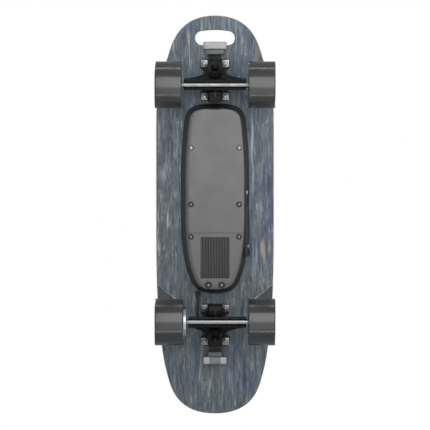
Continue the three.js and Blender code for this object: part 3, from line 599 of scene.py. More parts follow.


# Paler marks laid on the underside's veneer: place, reach (mm), colour and strength.
UNDERSIDE_MARKS = [
    ((71, -140), (2.6, 60), (0.5, 0.5, 0.47), 0.8),
    ((73, -70), (2.4, 45), (0.42, 0.43, 0.42), 0.6),
    ((92, 66), (6, 22), (0.36, 0.33, 0.25), 0.85),
    ((95, 84), (3.5, 16), (0.36, 0.33, 0.25), 0.7),
    ((80, -305), (5, 26), (0.27, 0.25, 0.14), 0.55),
]
VENEER = stained_veneer()
WELL_WOOD = well_wood()
PLIES = maple_plies()
PALE_VENEER = pale_veneer()
GRIT = grit()
URETHANE = urethane()
LENS = frosted_lens("frosted_lens", 0.45)
BRIGHT_LENS = frosted_lens("bright_lens", 0.6)
TRAY = moulded("tray_texture", (0.04, 0.041, 0.043), 0.5, grain=1900, depth=0.00008,
               Specular_IOR_Level=0.35)
COVER = moulded("cover_satin", (0.057, 0.057, 0.058), 0.28, grain=2400, variation=0.02,
                depth=0.00002, Specular_IOR_Level=0.88)
SINK = moulded("anodised_grey", (0.068, 0.069, 0.07), 0.4, metallic=0.5, depth=0.00003)
# Painted shade: the heat sink's base between the fins, coloured darker than the fins to stand for the
# shade in the gaps.
SINK_FLOOR_PAINTED_SHADE = moulded("sink_floor_painted_shade", (0.05, 0.05, 0.051), 0.55, Specular_IOR_Level=0.3)
RUBBER = moulded("black_rubber", (0.016, 0.016, 0.017), 0.62, grain=1500, depth=0.0001)
CASTING = moulded("powder_coat", (0.006, 0.0064, 0.0068), 0.4, grain=1300, depth=0.00012,
                  Specular_IOR_Level=0.14, Coat_Weight=0.05, Coat_Roughness=0.25)
NYLON = moulded("black_nylon", (0.02, 0.021, 0.022), 0.4, grain=1700, depth=0.00006)
BLACK_STEEL = moulded("black_oxide", (0.03, 0.03, 0.032), 0.3, metallic=0.9, depth=0.00003)
BUSHING = moulded("bushing_urethane", (0.018, 0.019, 0.02), 0.3, depth=0.00003,
                  Coat_Weight=0.3, Coat_Roughness=0.2)
GREY_PLASTIC = moulded("grey_plastic", (0.11, 0.112, 0.116), 0.4)
LAMP_BAND = moulded("lamp_band", (0.205, 0.21, 0.215), 0.4)
SLEEVE = moulded("blue_sleeve", (0.03, 0.16, 0.3), 0.32, depth=0.00006, Coat_Weight=0.4)
BOARD_GREEN = moulded("solder_mask", (0.015, 0.12, 0.05), 0.3, grain=900, variation=0.3)
STEEL = machined("zinc_steel", (0.31, 0.314, 0.318), 0.32)
DARK_METAL = machined("shield_steel", (0.2, 0.204, 0.21), 0.34)
ALUMINIUM = machined("turned_aluminium", (0.46, 0.467, 0.475), 0.32, (1, 0.05, 0.05))
LAMP = glowing("status_glow", (0.75, 0.85, 0.9), 0.5)

# ---- deck and grip tape


def rail_rise(x):
    beyond = max(0, abs(x) - FLAT_HALF_WIDTH)
    return RAIL_RISE * (beyond / (DECK_HALF_WIDTH - FLAT_HALF_WIDTH)) ** 2


def dished(bm):
    """Cuts a flat sheet along its rails and raises it to the deck's curve."""
    step = 4.0
    x = FLAT_HALF_WIDTH
    while x < DECK_HALF_WIDTH:
        for side in (-1, 1):
            geom = list(bm.verts) + list(bm.edges) + list(bm.faces)
            bmesh.ops.bisect_plane(bm, geom=geom, plane_co=(side * x * MM, 0, 0),
                                   plane_no=(1, 0, 0))
        x += step
    for vert in bm.verts:
        vert.co.z += rail_rise(vert.co.x / MM) * MM
    return bm


def deck_outline():
    half = DECK_LENGTH / 2
    nose = [[(x, d - half) for x, d in curve] for curve in NOSE_CURVES]
    tail = [[(x, half - d) for x, d in reversed(curve)] for curve in reversed(TAIL_CURVES)]
    side = [nose[1][3], nose[1][3], tail[0][0], tail[0][0]]
    return mirrored_outline([nose[0], nose[1], side, tail[0], tail[1]], 22)


def slot_outline(grow=0.0):
    half_width, rear, front, corner = 38 + grow, -328 + grow, -354.5 - grow, 13 + grow
    steps = 8
    points = rounded_rectangle(-half_width, half_width, front, rear, corner, steps)
    reach = half_width - corner
    arch = [(k * reach / 6, front - 2 * (1 - (k / 6) ** 2)) for k in range(-5, 6)]
    before = 3 * (steps + 1)
    return points[:before] + arch + points[before:]


def bolt_pattern():
    """The bolts' places round the middle of their truck's plate."""
    return [(sx * BOLT_SPACING_X / 2, sy * BOLT_SPACING_Y / 2) for sy in (-1, 1) for sx in (-1, 1)]


def bolt_centres():
    centres = []
    for end, axle_y, flip in (("front", FRONT_AXLE_Y, -1), ("rear", REAR_AXLE_Y, 1)):
        middle = axle_y + flip * BOLTS_BEYOND_AXLE
        for number, (x, y) in enumerate(bolt_pattern(), 1):
            centres.append((f"{end}_truck_bolt_{number}", flip * x, middle + flip * y))
    return centres


def bolt_holes(lowest):
    head = 5.1
    profile = [(0, lowest), (BOLT_HOLE_RADIUS, lowest), (BOLT_HOLE_RADIUS, GRIP_TOP - 3.5),
               (head, GRIP_TOP - 0.3), (head, GRIP_TOP + 8), (0, GRIP_TOP + 8)]
    return merged(*[moved(lathe(profile, 32), at(x, y)) for _, x, y in bolt_centres()])


def wheel_wells():
    below = 10
    wells = []
    for side in (-1, 1):
        roof = [(side * x, y) for x, y in WELL_OUTLINE]
        if side > 0:
            roof.reverse()
        mouth = inset(roof, -WELL_SLOPE * (WELL_DEPTH + below) / WELL_DEPTH)
        rings = [(mouth, DECK_BOTTOM - below), (roof, DECK_BOTTOM + WELL_DEPTH)]
        wells.append(dished(loft(rings, closed=False)))
    return wells


def deck_material(normal_z, x, y, z):
    """Which of the deck's materials a face has, from its slope and its middle."""
    veneer, plies, pale, well = range(4)
    underside = DECK_BOTTOM + rail_rise(x)
    in_well = WELL_ZONE_Y[0] < y < WELL_ZONE_Y[1] and WELL_ZONE_X[0] < abs(x) < WELL_ZONE_X[1]
    if normal_z < -0.8:
        return well if in_well and abs(z - underside - WELL_DEPTH) < 1 else veneer
    if normal_z > 0.8:
        return pale
    return pale if normal_z < -0.3 and in_well and z > underside + 0.3 else plies


def add_deck():
    outline = deck_outline()
    blank = dished(prism([outline, slot_outline()], DECK_BOTTOM, DECK_TOP))
    bevel(blank, 1.8, 3)
    board = carved(blank, [merged(bolt_holes(DECK_BOTTOM - 5), *wheel_wells())])
    deck = add_piece("deck_board", board,
                     [VENEER, PLIES, PALE_VENEER, WELL_WOOD], ["deck"])
    for face in deck.data.polygons:
        face.material_index = deck_material(face.normal.z, *(c / MM for c in face.center))
    sheet = dished(prism([inset(outline, GRIP_MARGIN), slot_outline(GRIP_MARGIN / 2)],
                         DECK_TOP + 0.3, GRIP_TOP))
    bevel(sheet, 0.25, 1)
    tape = carved(sheet, [bolt_holes(DECK_TOP - 5)])
    add_piece("grip_sheet", tape, [GRIT], ["grip_tape"])


# ---- trucks

TO_NUT = Matrix.Rotation(math.pi, 4, "X")          # a lathe's +Z runs towards the kingpin's nut
TO_AXIS = Matrix.Rotation(-math.pi / 2, 4, "X")    # a lathe's +Z runs up the steering axis
STEERING = at(0, RING_OUTBOARD, RING_HEIGHT) @ Matrix.Rotation(STEER_ANGLE, 4, "X")
KINGPIN = STEERING @ TO_NUT


def hexagon(across, z0, z1, round_off=0.5):
    bm = prism([circle(0, 0, across / math.sqrt(3), 6)], z0, z1)
    bevel(bm, round_off, 2, 30)
    return bm


def cast(bm, voxel, iterations):
    """Blends joined solids into one casting with small fillets."""
    holder = linked("holder", outward_mesh(bm, "cast"))
    add_modifier(holder, "REMESH", mode="VOXEL", voxel_size=voxel * MM)
    add_modifier(holder, "SMOOTH", iterations=iterations, factor=0.5)
    add_modifier(holder, "DECIMATE", ratio=0.3)
    return to_bmesh(applied(holder))


def prism_x(outline, x0, x1):
    """An outline in (y, z) run along X."""
    axes = Matrix(((0, 0, 1, 0), (1, 0, 0, 0), (0, 1, 0, 0), (0, 0, 0, 1)))
    return moved(prism([outline], x0, x1), axes)


def hanger(truck, from_x, to_x, boss):
    bar = prism_x([(-10, 40), (-6.3, 38.6), (6.3, 38.6), (10, 40), (12, 62), (4, 66),
                   (-7, 60.5), (-10, 56)], from_x, to_x)
    ring = 21
    web = [(from_x, -27), (to_x, -27), (to_x, -14)]
    web += bezier([(to_x, -14), (30, -10), (ring, 0)], 10)
    web += [(ring * math.cos(a * math.pi / 20), ring * math.sin(a * math.pi / 20))
            for a in range(1, 20)]
    web += [(-ring, 0)] + bezier([(-ring, 0), (-30, -10), (from_x, -14)], 10)
    plate = moved(prism([web], -4.5, 4.5), STEERING)
    pivot = moved(lathe([(0, -60), (3.2, -59), (5.2, -56), (5.5, -51), (6.5, -43), (8.5, -31),
                         (0, -31)], 32), STEERING @ TO_AXIS)
    solids = [bar, plate, pivot]
    if boss:
        solids.append(moved(rod(5.5, 55, 69), at(-36, -3)))
    whole = cast(merged(*solids), 1.0, 5)
    hole = moved(rod(8, -12, 12, 48), STEERING)
    bore = moved(rod(6.3, from_x - 3, to_x + 3, 48), at(0, 0, WHEEL_RADIUS) @ ALONG_X)
    channel = prism([[(from_x - 3, -6.3), (to_x + 3, -6.3), (to_x + 3, 6.3), (from_x - 3, 6.3)]],
                    WHEEL_RADIUS - 15, WHEEL_RADIUS)
    return moved(carved(whole, [hole, bore, channel]), truck)


def baseplate(truck):
    quarter = [(14.5, 14.5), (27.5, 23), (27.5, 34), (21.5, 40)]
    right = [(x, -y) for x, y in reversed(quarter)] + quarter
    lobes = right + [(-x, y) for x, y in reversed(right)]
    lobes = [(x, y + BOLTS_BEYOND_AXLE) for x, y in lobes]
    plate = prism([rounded(lobes, 4, 4, closed=True)], PLATE_TOP - 6, PLATE_TOP)
    tower = prism_x([(39, 106), (19.2, 99.4), (-4.4, 79.6), (-14.6, 62), (-20.5, 53),
                     (-13.8, 37), (-22, 30), (-31, 31), (-34, 42), (-31, 106)], -12.5, 12.5)
    whole = cast(merged(plate, tower), 1.0, 4)
    shank = moved(rod(KINGPIN_BORE, -33, 0), KINGPIN)
    pocket = moved(rod(10.5, -70, -29.8), KINGPIN)
    cup = moved(rod(7.6, -62.3, -39), STEERING @ TO_AXIS)
    holes = [moved(rod(BOLT_HOLE_RADIUS, 100, 115, 24), at(x, BOLTS_BEYOND_AXLE + y))
             for x, y in bolt_pattern()]
    return moved(carved(whole, [shank, pocket, cup, merged(*holes)]), truck)


# Ends of a bushing, from the ring's centre along the kingpin.
BUSHING_NEAR = 4.8
BUSHING_SEAT = 18.8


def bushing(truck, side):
    """A barrel on the deck's side of the ring, a cone on the road's side."""
    radius, straight_to = 13, 8.8
    far_radius = 13 if side < 0 else 10.5
    slope = [(radius + (far_radius - radius) * k / 5,
              straight_to + (BUSHING_SEAT - straight_to) * k / 5) for k in range(1, 6)]
    bore = [(KINGPIN_BORE, BUSHING_SEAT + (BUSHING_NEAR - BUSHING_SEAT) * k / 5) for k in range(5)]
    profile = [(KINGPIN_BORE, BUSHING_NEAR), (radius, BUSHING_NEAR), (radius, straight_to),
               *slope, *bore]
    ring = turned([(r, side * z) for r, z in profile], 1.4, 3, 56)
    return moved(ring, truck @ KINGPIN)


def kingpin(truck):
    seat, tip = -30.1, 32.6
    shank = [(0, seat - 3), (5, seat - 3), (5, tip - 1), (4, tip), (0, tip)]
    pin = lathe(rounded(shank, 0.4), 40)
    return moved(merged(pin, hexagon(16, seat - 6, seat, 0.8)), truck @ KINGPIN)


def kingpin_nut(truck):
    washer = turned([(KINGPIN_BORE, 19.1), (13.5, 19.1), (13.5, 21.3), (KINGPIN_BORE, 21.3)],
                    0.5, 3, 56)
    nut = carved(hexagon(14.5, 21.35, 29.6, 0.9), [rod(KINGPIN_BORE, 20, 34)])
    collar = turned([(5.35, 29.4), (6.6, 29.4), (6.4, 30.6), (5.35, 30.6)], 0.3, 3, 40)
    return moved(merged(washer, nut, collar), truck @ KINGPIN)


def truck_bolt(x, y):
    head = [(0, 98.2), (2.2, 98.2), (2.5, 98.8), (2.5, GRIP_TOP - 3.2), (4.8, GRIP_TOP - 0.35),
            (4.75, GRIP_TOP), (0, GRIP_TOP)]
    socket = prism([circle(0, 0, 2.0, 6)], GRIP_TOP - 2, GRIP_TOP + 2)
    bolt = carved(lathe(head, 40), [socket])
    nut = hexagon(8, 99.7, 103.6, 0.5)
    washer = prism([rounded_rectangle(-6.5, 6.5, -7, 7, 1, 3)], 103.5, 104.7)
    bevel(washer, 0.35, 2, 60)
    return moved(merged(bolt, nut, washer), at(x, y))


def axle(truck, motor):
    tip = [(4, 112.8), (3.5, 113.4), (0, 113.4)]
    free = [(6, 59.7), (5.5, 59.7), (5.5, 74.1), (4, 74.1), *tip]
    driven = [(6, 51), (5, 51), (5, 105.6), (4, 105.6), *tip]
    other = driven if motor else free
    profile = [(r, -x) for r, x in reversed(other)] + free
    return moved(lathe(profile, 48), truck @ at(0, 0, WHEEL_RADIUS) @ ALONG_X)


def axle_nut(axle_y, side, start):
    flat = start + 1.3
    washer = turned([(AXLE_BORE, start), (7, start), (7, flat), (AXLE_BORE, flat)], 0.3, 2, 48)
    nut = carved(hexagon(13, flat, 112.6, 0.7), [rod(AXLE_BORE, start, 120)])
    along = ALONG_X if side > 0 else ALONG_MINUS_X
    return moved(merged(washer, nut), at(0, axle_y, WHEEL_RADIUS) @ along)


def add_truck(end, axle_y, outboard):
    turn = 0 if outboard > 0 else math.pi
    truck = at(0, axle_y) @ Matrix.Rotation(turn, 4, "Z")
    rear = end == "rear"
    unit = f"{end}_hanger_unit"
    casting = hanger(truck, -51 if rear else -60, 60, rear)
    add_piece(f"{end}_hanger_casting", casting, [CASTING],
              [f"{end}_hanger"], unit)
    add_piece(f"{end}_axle_rod", axle(truck, rear), [STEEL], [f"{end}_axle"], unit)
    add_piece(f"{end}_base_casting", baseplate(truck), [CASTING],
              [f"{end}_baseplate"])
    for side, word in ((-1, "deck"), (1, "road")):
        obj = add_piece(f"{end}_{word}_bushing", bushing(truck, side), [BUSHING],
                        [f"{end}_{word}_side_bushing"], None)
        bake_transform(obj)
    add_piece(f"{end}_kingpin_bolt", kingpin(truck), [BLACK_STEEL],
              [f"{end}_kingpin"])
    add_piece(f"{end}_kingpin_locknut", kingpin_nut(truck),
              [BLACK_STEEL], [f"{end}_kingpin_nut"])
    for side, word in ((-1, "right"), (1, "left")):
        start = 108.3 if rear and side < 0 else 105.9
        add_piece(f"{end}_{word}_locknut", axle_nut(axle_y, side, start),
                  [DARK_METAL if rear else STEEL], [f"{end}_{word}_axle_nut"], unit)


def add_truck_bolts():
    """Front bolts are bright; rear ones are black above the deck and grey below it."""
    for name, x, y in bolt_centres():
        rear = name.startswith("rear")
        mats = [DARK_METAL, BLACK_STEEL] if rear else [STEEL]
        bolt = add_piece(f"{name}_screw", truck_bolt(x, y), mats, [name])
        for face in bolt.data.polygons:
            face.material_index = 1 if rear and face.center.z > DECK_BOTTOM * MM else 0


# ---- wheels


def both_ends(end):
    """A profile from its +Z end: the same end mirrored, then the end itself."""
    return [(r, -z) for r, z in reversed(end)] + end


def tyre(half_width, bore):
    end = [(WHEEL_RADIUS, half_width - 1.4), (43.6, half_width), (38, half_width),
           (bore + 3, half_width - 1), (bore, half_width - 8)]
    return turned(both_ends(end), 0.9, 4, 128)


def wheel_core():
    end = [(9, 8.3), (11.3, 8.3), (11.3, 16), (14.5, 16), (14.5, 7), (24.5, 7), (24.5, 18),
           (27.2, 18)]
    ring = turned(both_ends(end), 0.8, 3, 96)
    spokes, spread = 5, math.radians(24)
    windows = []
    for k in range(spokes):
        middle = 2 * math.pi * k / spokes
        arc = [middle + spread * (i / 6 - 1) for i in range(13)]
        outline = [(23.2 * math.cos(a), 23.2 * math.sin(a)) for a in arc]
        outline += [(16 * math.cos(a), 16 * math.sin(a)) for a in reversed(arc)]
        windows.append(prism([outline], -12, 12))
    return carved(ring, [merged(*windows)])


def bearings():
    """Two shielded bearings and the spacer between them."""
    outer = 15.6
    end = [(AXLE_BORE, outer), (5.6, outer), (5.6, outer - 0.7), (9, outer - 0.7), (9, outer),
           (11, outer), (11, 8.6), (6.3, 8.6)]
    return turned(both_ends(end), 0.25, 2, 64)


def motor_can(half_width):
    inner = half_width + 5.4
    face = -half_width + 8
    profile = [(5.3, face), (9, face), (9, face + 0.8), (26, face + 0.8), (27.5, face), (33, face),
               (33, half_width), (30, half_width), (30, inner), (24, inner), (23, inner - 0.8),
               (12, inner - 0.8), (11, inner), (5.3, inner), (5.3, half_width - 2),
               (30, half_width - 4), (30, face + 4), (5.3, face + 4)]
    sockets = [moved(rod(1.3, face - 2, face + 2.2, 6), at(x, y)) for x, y in circle(0, 0, 18, 6)]
    return carved(turned(profile, 0.7, 3, 112), [merged(*sockets)])


def add_wheels():
    for name, side, y in (("front_right", -1, FRONT_AXLE_Y), ("front_left", 1, FRONT_AXLE_Y),
                          ("rear_left", 1, REAR_AXLE_Y)):
        place = at(side * WHEEL_X, y, WHEEL_RADIUS) @ ALONG_X
        pieces = [("tread", tyre(TYRE_HALF_WIDTH, CORE_RADIUS), "urethane", URETHANE, "tyre"),
                  ("hub", wheel_core(), "core_plastic", NYLON, "wheel_core"),
                  ("bearings", bearings(), "steel", DARK_METAL, "bearing_set")]
        for word, bm, slot_name, mat, node in pieces:
            add_piece(f"{name}_{word}", moved(bm, place), [mat],
                      [f"{name}_{node}"], f"{name}_wheel")
    place = at(-MOTOR_WHEEL_X, REAR_AXLE_Y, WHEEL_RADIUS) @ ALONG_X
    half_width = MOTOR_TYRE_HALF_WIDTH
    add_piece("motor_tread", moved(tyre(half_width, MOTOR_RADIUS), place), [URETHANE],
              ["motor_tyre"], "motor_wheel")
    add_piece("motor_drum", moved(motor_can(half_width), place), [ALUMINIUM],
              ["motor_can"], "motor_wheel")


# ---- enclosure


def shrunk(outline, distance):
    """An outline drawn in towards its middle, which never crosses itself."""
    middle_y, half_width, half_length = -31.5, 66, 183.5
    return [(x * (1 - distance / half_width),
             middle_y + (y - middle_y) * (1 - distance / half_length)) for x, y in outline]


def both_sides(points):
    return [(side * x, y) for x, y in points for side in (-1, 1)]


def add_enclosure():
    outline = mirrored_outline(ENCLOSURE_CURVES, 14)
    height = TRAY_TOP - TRAY_BOTTOM
    rings = []
    for k in range(7):
        z = TRAY_TOP - (height - 2.2) * k / 6
        rings.append((inset(outline, TRAY_DRAFT * (TRAY_TOP - z) / height), z))
    foot = inset(outline, TRAY_DRAFT)
    rings += [(inset(outline, 8.75), TRAY_BOTTOM + 1.1), (inset(outline, 9.2), TRAY_BOTTOM + 0.35)]
    rings += [(shrunk(foot, distance), TRAY_BOTTOM + up)
              for distance, up in ((1.1, 0), (6.5, 0), (6.5, 2.5), (3.2, 2.5))]
    rings.append((shrunk(outline, 3.2), TRAY_TOP))
    rib = block(-54, 54, COVER_SEAM_Y - 3, COVER_SEAM_Y + 3, TRAY_BOTTOM + 0.01, 110, 0)
    bosses = [moved(rod(5, TRAY_BOTTOM + 0.02, 87.3), at(x, y))
              for x, y in both_sides(COVER_SCREWS)]
    shell = carved(loft(rings), [rib, merged(*bosses)], "UNION")
    add_piece("tray_shell", shell, [TRAY], ["enclosure_tray"],
              smooth_angle=40)
    add_lids(outline, foot)
    add_heat_sink()
    add_cover_screws()
    add_panel()


def add_lids(outline, foot):
    """The two covers: one crowned form, cut apart at the seam."""
    crown = [(foot, COVER_TOP), (foot, 80.5), (inset(outline, 9.2), 80.1)]
    crown += [(shrunk(foot, distance), COVER_BOTTOM + up)
              for distance, up in ((0.9, 0.8), (3.5, 0.45), (6.5, 0.15), (9, 0), (11, 0))]
    lids = [("battery_lid", "battery_cover", COVER_SCREWS[:2], 1),
            ("controller_lid", "controller_cover", COVER_SCREWS[2:], -1)]
    for name, node, screws, forward in lids:
        cut_from, cut_to = sorted((COVER_SEAM_Y - forward * 0.35, COVER_SEAM_Y + forward * 300))
        tools = [block(-90, 90, cut_from, cut_to, 70, 90, 0)]
        if forward < 0:
            tools.append(prism([rounded_rectangle(-27.8, 27.8, 42.2, 121.3, 1.5, 4)], 70, 90))
        recesses = [moved(lathe(screw_recess(recess_radius(y)), 40), at(x, y))
                    for x, y in both_sides(screws)]
        tools.append(merged(*recesses))
        lid = carved(loft(crown, closed=False), tools)
        add_piece(name, lid, [COVER], [node])


def screw_recess(radius):
    bore = 1.7
    return [(0, 70), (radius + 0.5, 70), (radius + 0.5, COVER_BOTTOM),
            (radius, COVER_BOTTOM + 0.5), (radius - 0.6, COVER_BOTTOM + 1.3),
            (bore, COVER_BOTTOM + 1.5), (bore, 90), (0, 90)]


def is_nose_screw(y):
    return y < -100


def recess_radius(y):
    return 5 if is_nose_screw(y) else 5.4 if y < 100 else 7


def add_heat_sink():
    """Rounded fins on a base plate coloured darker between the fins, as painted shade in the gaps."""
    fins, width, pitch, fin_top = 11, 1.9, 5.24, TRAY_BOTTOM + 1
    parts = [prism([rounded_rectangle(-29.5, 29.5, 40.5, 121, 1, 3)], TRAY_BOTTOM, 86)]
    for k in range(fins):
        x = (k - (fins - 1) / 2) * pitch
        fin = prism([rounded_rectangle(x - width / 2, x + width / 2, 43, 120.5, 0.9, 4)],
                    COVER_BOTTOM + 0.4, fin_top)
        bevel(fin, 0.4, 2, 60, pick=lambda e: all(v.co.z < 80 * MM for v in e.verts))
        parts.append(fin)
    sink = add_piece("heat_sink_fins", merged(*parts),
                     [SINK, SINK_FLOOR_PAINTED_SHADE], ["heat_sink"])
    for face in sink.data.polygons:
        # Faces on the base between the fins take the darker colour: painted shade.
        face.material_index = 1 if face.center.z > 81.5 * MM else 0


def add_cover_screws():
    z = COVER_BOTTOM + 1.35
    for number, (x, y) in enumerate(both_sides(COVER_SCREWS), 1):
        r, mat = (4, STEEL) if is_nose_screw(y) else (2.9, DARK_METAL)
        head = [(0, z - 1.5), (r - 1.4, z - 1.45), (r - 0.3, z - 0.9), (r, z), (1.3, z),
                (1.3, z + 6), (0, z + 6)]
        socket = prism([circle(0, 0, 1.3, 6)], z - 3, z - 0.5)
        screw = moved(carved(lathe(head, 36), [socket]), at(x, y))
        add_piece(f"cover_screw_{number}", screw, [mat])
        # Painted shade: a dark rubber ring round each rear screw head stands for the shadow in the
        # screw's recess.
        if not is_nose_screw(y):
            rim = recess_radius(y) - 0.8
            washer = [(2.2, z - 0.5), (rim - 0.2, z - 0.5), (rim, z - 0.3), (rim, z - 0.05),
                      (2.2, z - 0.05)]
            add_piece(f"cover_painted_shade_ring_{number}", moved(lathe(washer, 36, closed=True), at(x, y)),
                      [RUBBER])


# The switch panel's frame: +Z out of the tray's side wall, +Y along the board.
WALL_LEAN = math.atan(TRAY_DRAFT / (TRAY_TOP - TRAY_BOTTOM))
PANEL = at(61, 0, 99.5) @ Matrix.Rotation(math.pi / 2 + WALL_LEAN, 4, "Y")
PANEL_FACE = 3.4
BUTTON_Y = 60
SOCKET_Y = 72


def add_panel():
    def piece(name, bm, mat, nodes=(), y=0, z=0, body="deck_unit"):
        add_piece(name, moved(bm, PANEL @ at(0, y, z)), [mat], nodes, body)

    holes = [circle(0, BUTTON_Y, 5.1, 40), circle(0, SOCKET_Y, 4.8, 40)]
    plate = prism([rounded_rectangle(-7.5, 7.5, -18, 80, 5, 10), *holes], -1.5, PANEL_FACE)
    bevel(plate, 0.9, 3, 50, pick=lambda e: all(v.co.z > 3 * MM for v in e.verts))
    piece("switch_panel", plate, TRAY)
    ribs, pitch, width = [], 3.2, 1.6
    for k in range(20):
        y = -12 + k * pitch
        rib = prism([rounded_rectangle(-5, 5, y, y + width, 0.5, 3)], PANEL_FACE - 0.4,
                    PANEL_FACE + 0.5)
        bevel(rib, 0.25, 1, 50, pick=lambda e: all(v.co.z > PANEL_FACE * MM for v in e.verts))
        ribs.append(rib)
    piece("panel_ribs", merged(*ribs), RUBBER)

    button = [(0, -9), (2, -9), (2, -5.5), (4.8, -5.5), (4.8, PANEL_FACE + 1.1),
              (4.3, PANEL_FACE + 1.6), (0, PANEL_FACE + 1.35)]
    piece("power_switch", lathe(rounded(button, 0.3, 3), 56), ALUMINIUM,
          ["power_button"], BUTTON_Y, body="button")
    sleeve = lathe([(0, -11), (4.5, -11), (4.5, PANEL_FACE - 0.4), (3, PANEL_FACE - 0.4),
                    (3, -8), (0, -8)], 56)
    pin = lathe([(0, -8), (0.8, -8), (0.8, -2), (0, -1.5)], 24)
    piece("charge_inlet", merged(sleeve, pin), BLACK_STEEL,
          ["charge_socket"], SOCKET_Y)
    low, high = PANEL_FACE + 0.3, PANEL_FACE + 2
    disc = [(0, PANEL_FACE - 1.5), (2.2, PANEL_FACE - 1.5), (2.2, low), (5.8, low),
            (5.8, high - 0.6), (5.2, high), (0, high)]
    tab = prism([rounded_rectangle(-2.5, 2.5, 0, 7, 0.8, 3)], low, high - 0.3)
    piece("charge_flap", carved(lathe(disc, 56), [tab], "UNION"), RUBBER,
          ["charge_cap"], SOCKET_Y, body="cap")
    window = prism([rounded_rectangle(-1.6, 1.6, -47, -40, 1.5, 5)], -2, 0.7)
    bevel(window, 0.4, 2, 60)
    piece("status_window", window, LAMP, z=0.35)


# ---- lights and motor cable


def add_lights():
    """Housing and lens at each end, and the dark band across the rear lens."""
    housings, lenses = (95, PLATE_TOP, 1.6), (94, PLATE_TOP, 2.6)
    for name, box, slot_name, mat, nodes in (
            ("front_lamp_housing", (-18, 18, -319.3, -309.8, *housings), "light_grey_plastic",
             GREY_PLASTIC, ["front_light_housing"]),
            ("rear_lamp_housing", (-13.5, 13.5, 264.6, 273.7, *housings), "light_grey_plastic",
             GREY_PLASTIC, ["rear_light_housing"]),
            ("front_lamp_lens", (-22.7, 22.7, -334.5, -319.6, *lenses), "lens", LENS,
             ["front_light_lens"]),
            ("rear_lamp_lens", (-22.7, 22.7, 274, 288, *lenses), "lens", BRIGHT_LENS,
             ["rear_light_lens"]),
            ("rear_lamp_band", (-12.5, 12.5, 273.8, 288.2, 93.8, PLATE_TOP - 0.4, 2.6),
             "light_grey_plastic", LAMP_BAND, ())):
        add_piece(name, block(*box), [mat], nodes)


def catmull(points, divisions):
    path = []
    padded = [points[0] * 2 - points[1], *points, points[-1] * 2 - points[-2]]
    for a, b, c, d in zip(padded, padded[1:], padded[2:], padded[3:]):
        for k in range(divisions):
            t = k / divisions
            path.append(0.5 * (2 * b + (c - a) * t + (2 * a - 5 * b + 4 * c - d) * t * t
                               + (3 * b - a - 3 * c + d) * t ** 3))
    return [*path, points[-1]]


def tube(path, radius):
    """A tube along a path in mm."""
    sides = 20
    bm = bmesh.new()
    rings = []
    across = Vector((1, 0, 0))
    for i, point in enumerate(path):
        ahead = path[min(i + 1, len(path) - 1)] - path[max(i - 1, 0)]
        ahead.normalize()
        across = (across - ahead * across.dot(ahead)).normalized()
        other = ahead.cross(across)
        ring = []
        for k in range(sides):
            a = 2 * math.pi * k / sides
            offset = across * math.cos(a) + other * math.sin(a)
            ring.append(bm.verts.new((point + offset * radius) * MM))
        rings.append(ring)
    bridge(bm, rings)
    bm.faces.new(rings[0])
    bm.faces.new(rings[-1])
    return bm


def add_motor_cable():
    route = [(-33, 148.3, 104), (-33, 156, 104), (-33, 168, 103.5), (-33.5, 181, 101),
             (-34.5, 193, 94), (-35.5, 200, 85), (-36, 201, 76), (-36, 201, 69.3)]
    path = catmull([Vector(p) for p in route], 10)
    lead = add_piece("motor_lead", tube(path, 3.0), [RUBBER], ["motor_cable"], None, 60)
    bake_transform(lead)
    ridges = [(3.05, 0), (5.3, 0), (5.3, 2)]
    for k in range(4):
        z, r = 2 + 2.2 * k, 4.9 - 0.35 * k
        ridges += [(r - 0.6, z), (r - 0.6, z + 0.7), (r, z + 0.7), (r, z + 2.2)]
    ridges += [(3.5, 12), (3.05, 12)]
    relief = moved(turned(ridges, 0.25, 2, 36), at(-33, 146.5, 104) @ TO_AXIS)
    add_piece("motor_lead_relief", relief, [RUBBER])


# ---- CAD nodes that stay


def finish_cad_nodes():
    looks = {"front_riser_pad": RUBBER, "rear_riser_pad": RUBBER, "front_pivot_cup": BUSHING,
             "rear_pivot_cup": BUSHING, "motor_stator": BLACK_STEEL, "enclosure_gasket": RUBBER,
             "battery_pack": SLEEVE, "battery_management_board": BOARD_GREEN,
             "motor_controller": BOARD_GREEN}
    for name, mat in looks.items():
        obj = NODES[name]
        obj.data.materials.clear()
        obj.data.materials.append(mat)
        for face in obj.data.polygons:
            face.use_smooth = True
            face.material_index = 0
        add_modifier(obj, "BEVEL", width=0.35 * MM, segments=2, limit_method="ANGLE",
                     angle_limit=math.radians(40), harden_normals=True)


# ---- stage, lights and camera


def add_floor():
    """A pale floor that fades out away from the board and is clear from below."""
    n = Nodes("studio_floor", Roughness=0.75)
    cloud = n.noise(1.5, detail=3)
    n.colour(n.ramp(cloud, [(0.3, (0.80, 0.80, 0.80)), (0.7, (0.83, 0.83, 0.83))]))
    reach = n.add("ShaderNodeVectorMath", {0: n.coordinates}, operation="LENGTH")
    inputs = {"Value": reach.outputs["Value"], "From Min": 0.75, "From Max": 1.9}
    fade = n.add("ShaderNodeMapRange", inputs, interpolation_type="SMOOTHSTEP")
    from_below = n.add("ShaderNodeNewGeometry").outputs["Backfacing"]
    inputs = {0: from_below, 1: fade.outputs["Result"]}
    hidden = n.add("ShaderNodeMath", inputs, operation="MAXIMUM")
    clear = n.add("ShaderNodeBsdfTransparent").outputs["BSDF"]
    inputs = {"Fac": hidden.outputs["Value"], 1: n.shader.outputs["BSDF"], 2: clear}
    either = n.add("ShaderNodeMixShader", inputs)
    n.link(either.outputs["Shader"], n.tree.nodes["Material Output"].inputs["Surface"])
    bm = bmesh.new()
    bmesh.ops.create_grid(bm, x_segments=1, y_segments=1, size=12)
    floor = linked("floor", to_mesh(bm, "floor"))
    floor.data.materials.append(n.material)
    floor.visible_diffuse = False
    floor.visible_glossy = False
    floor.visible_shadow = False


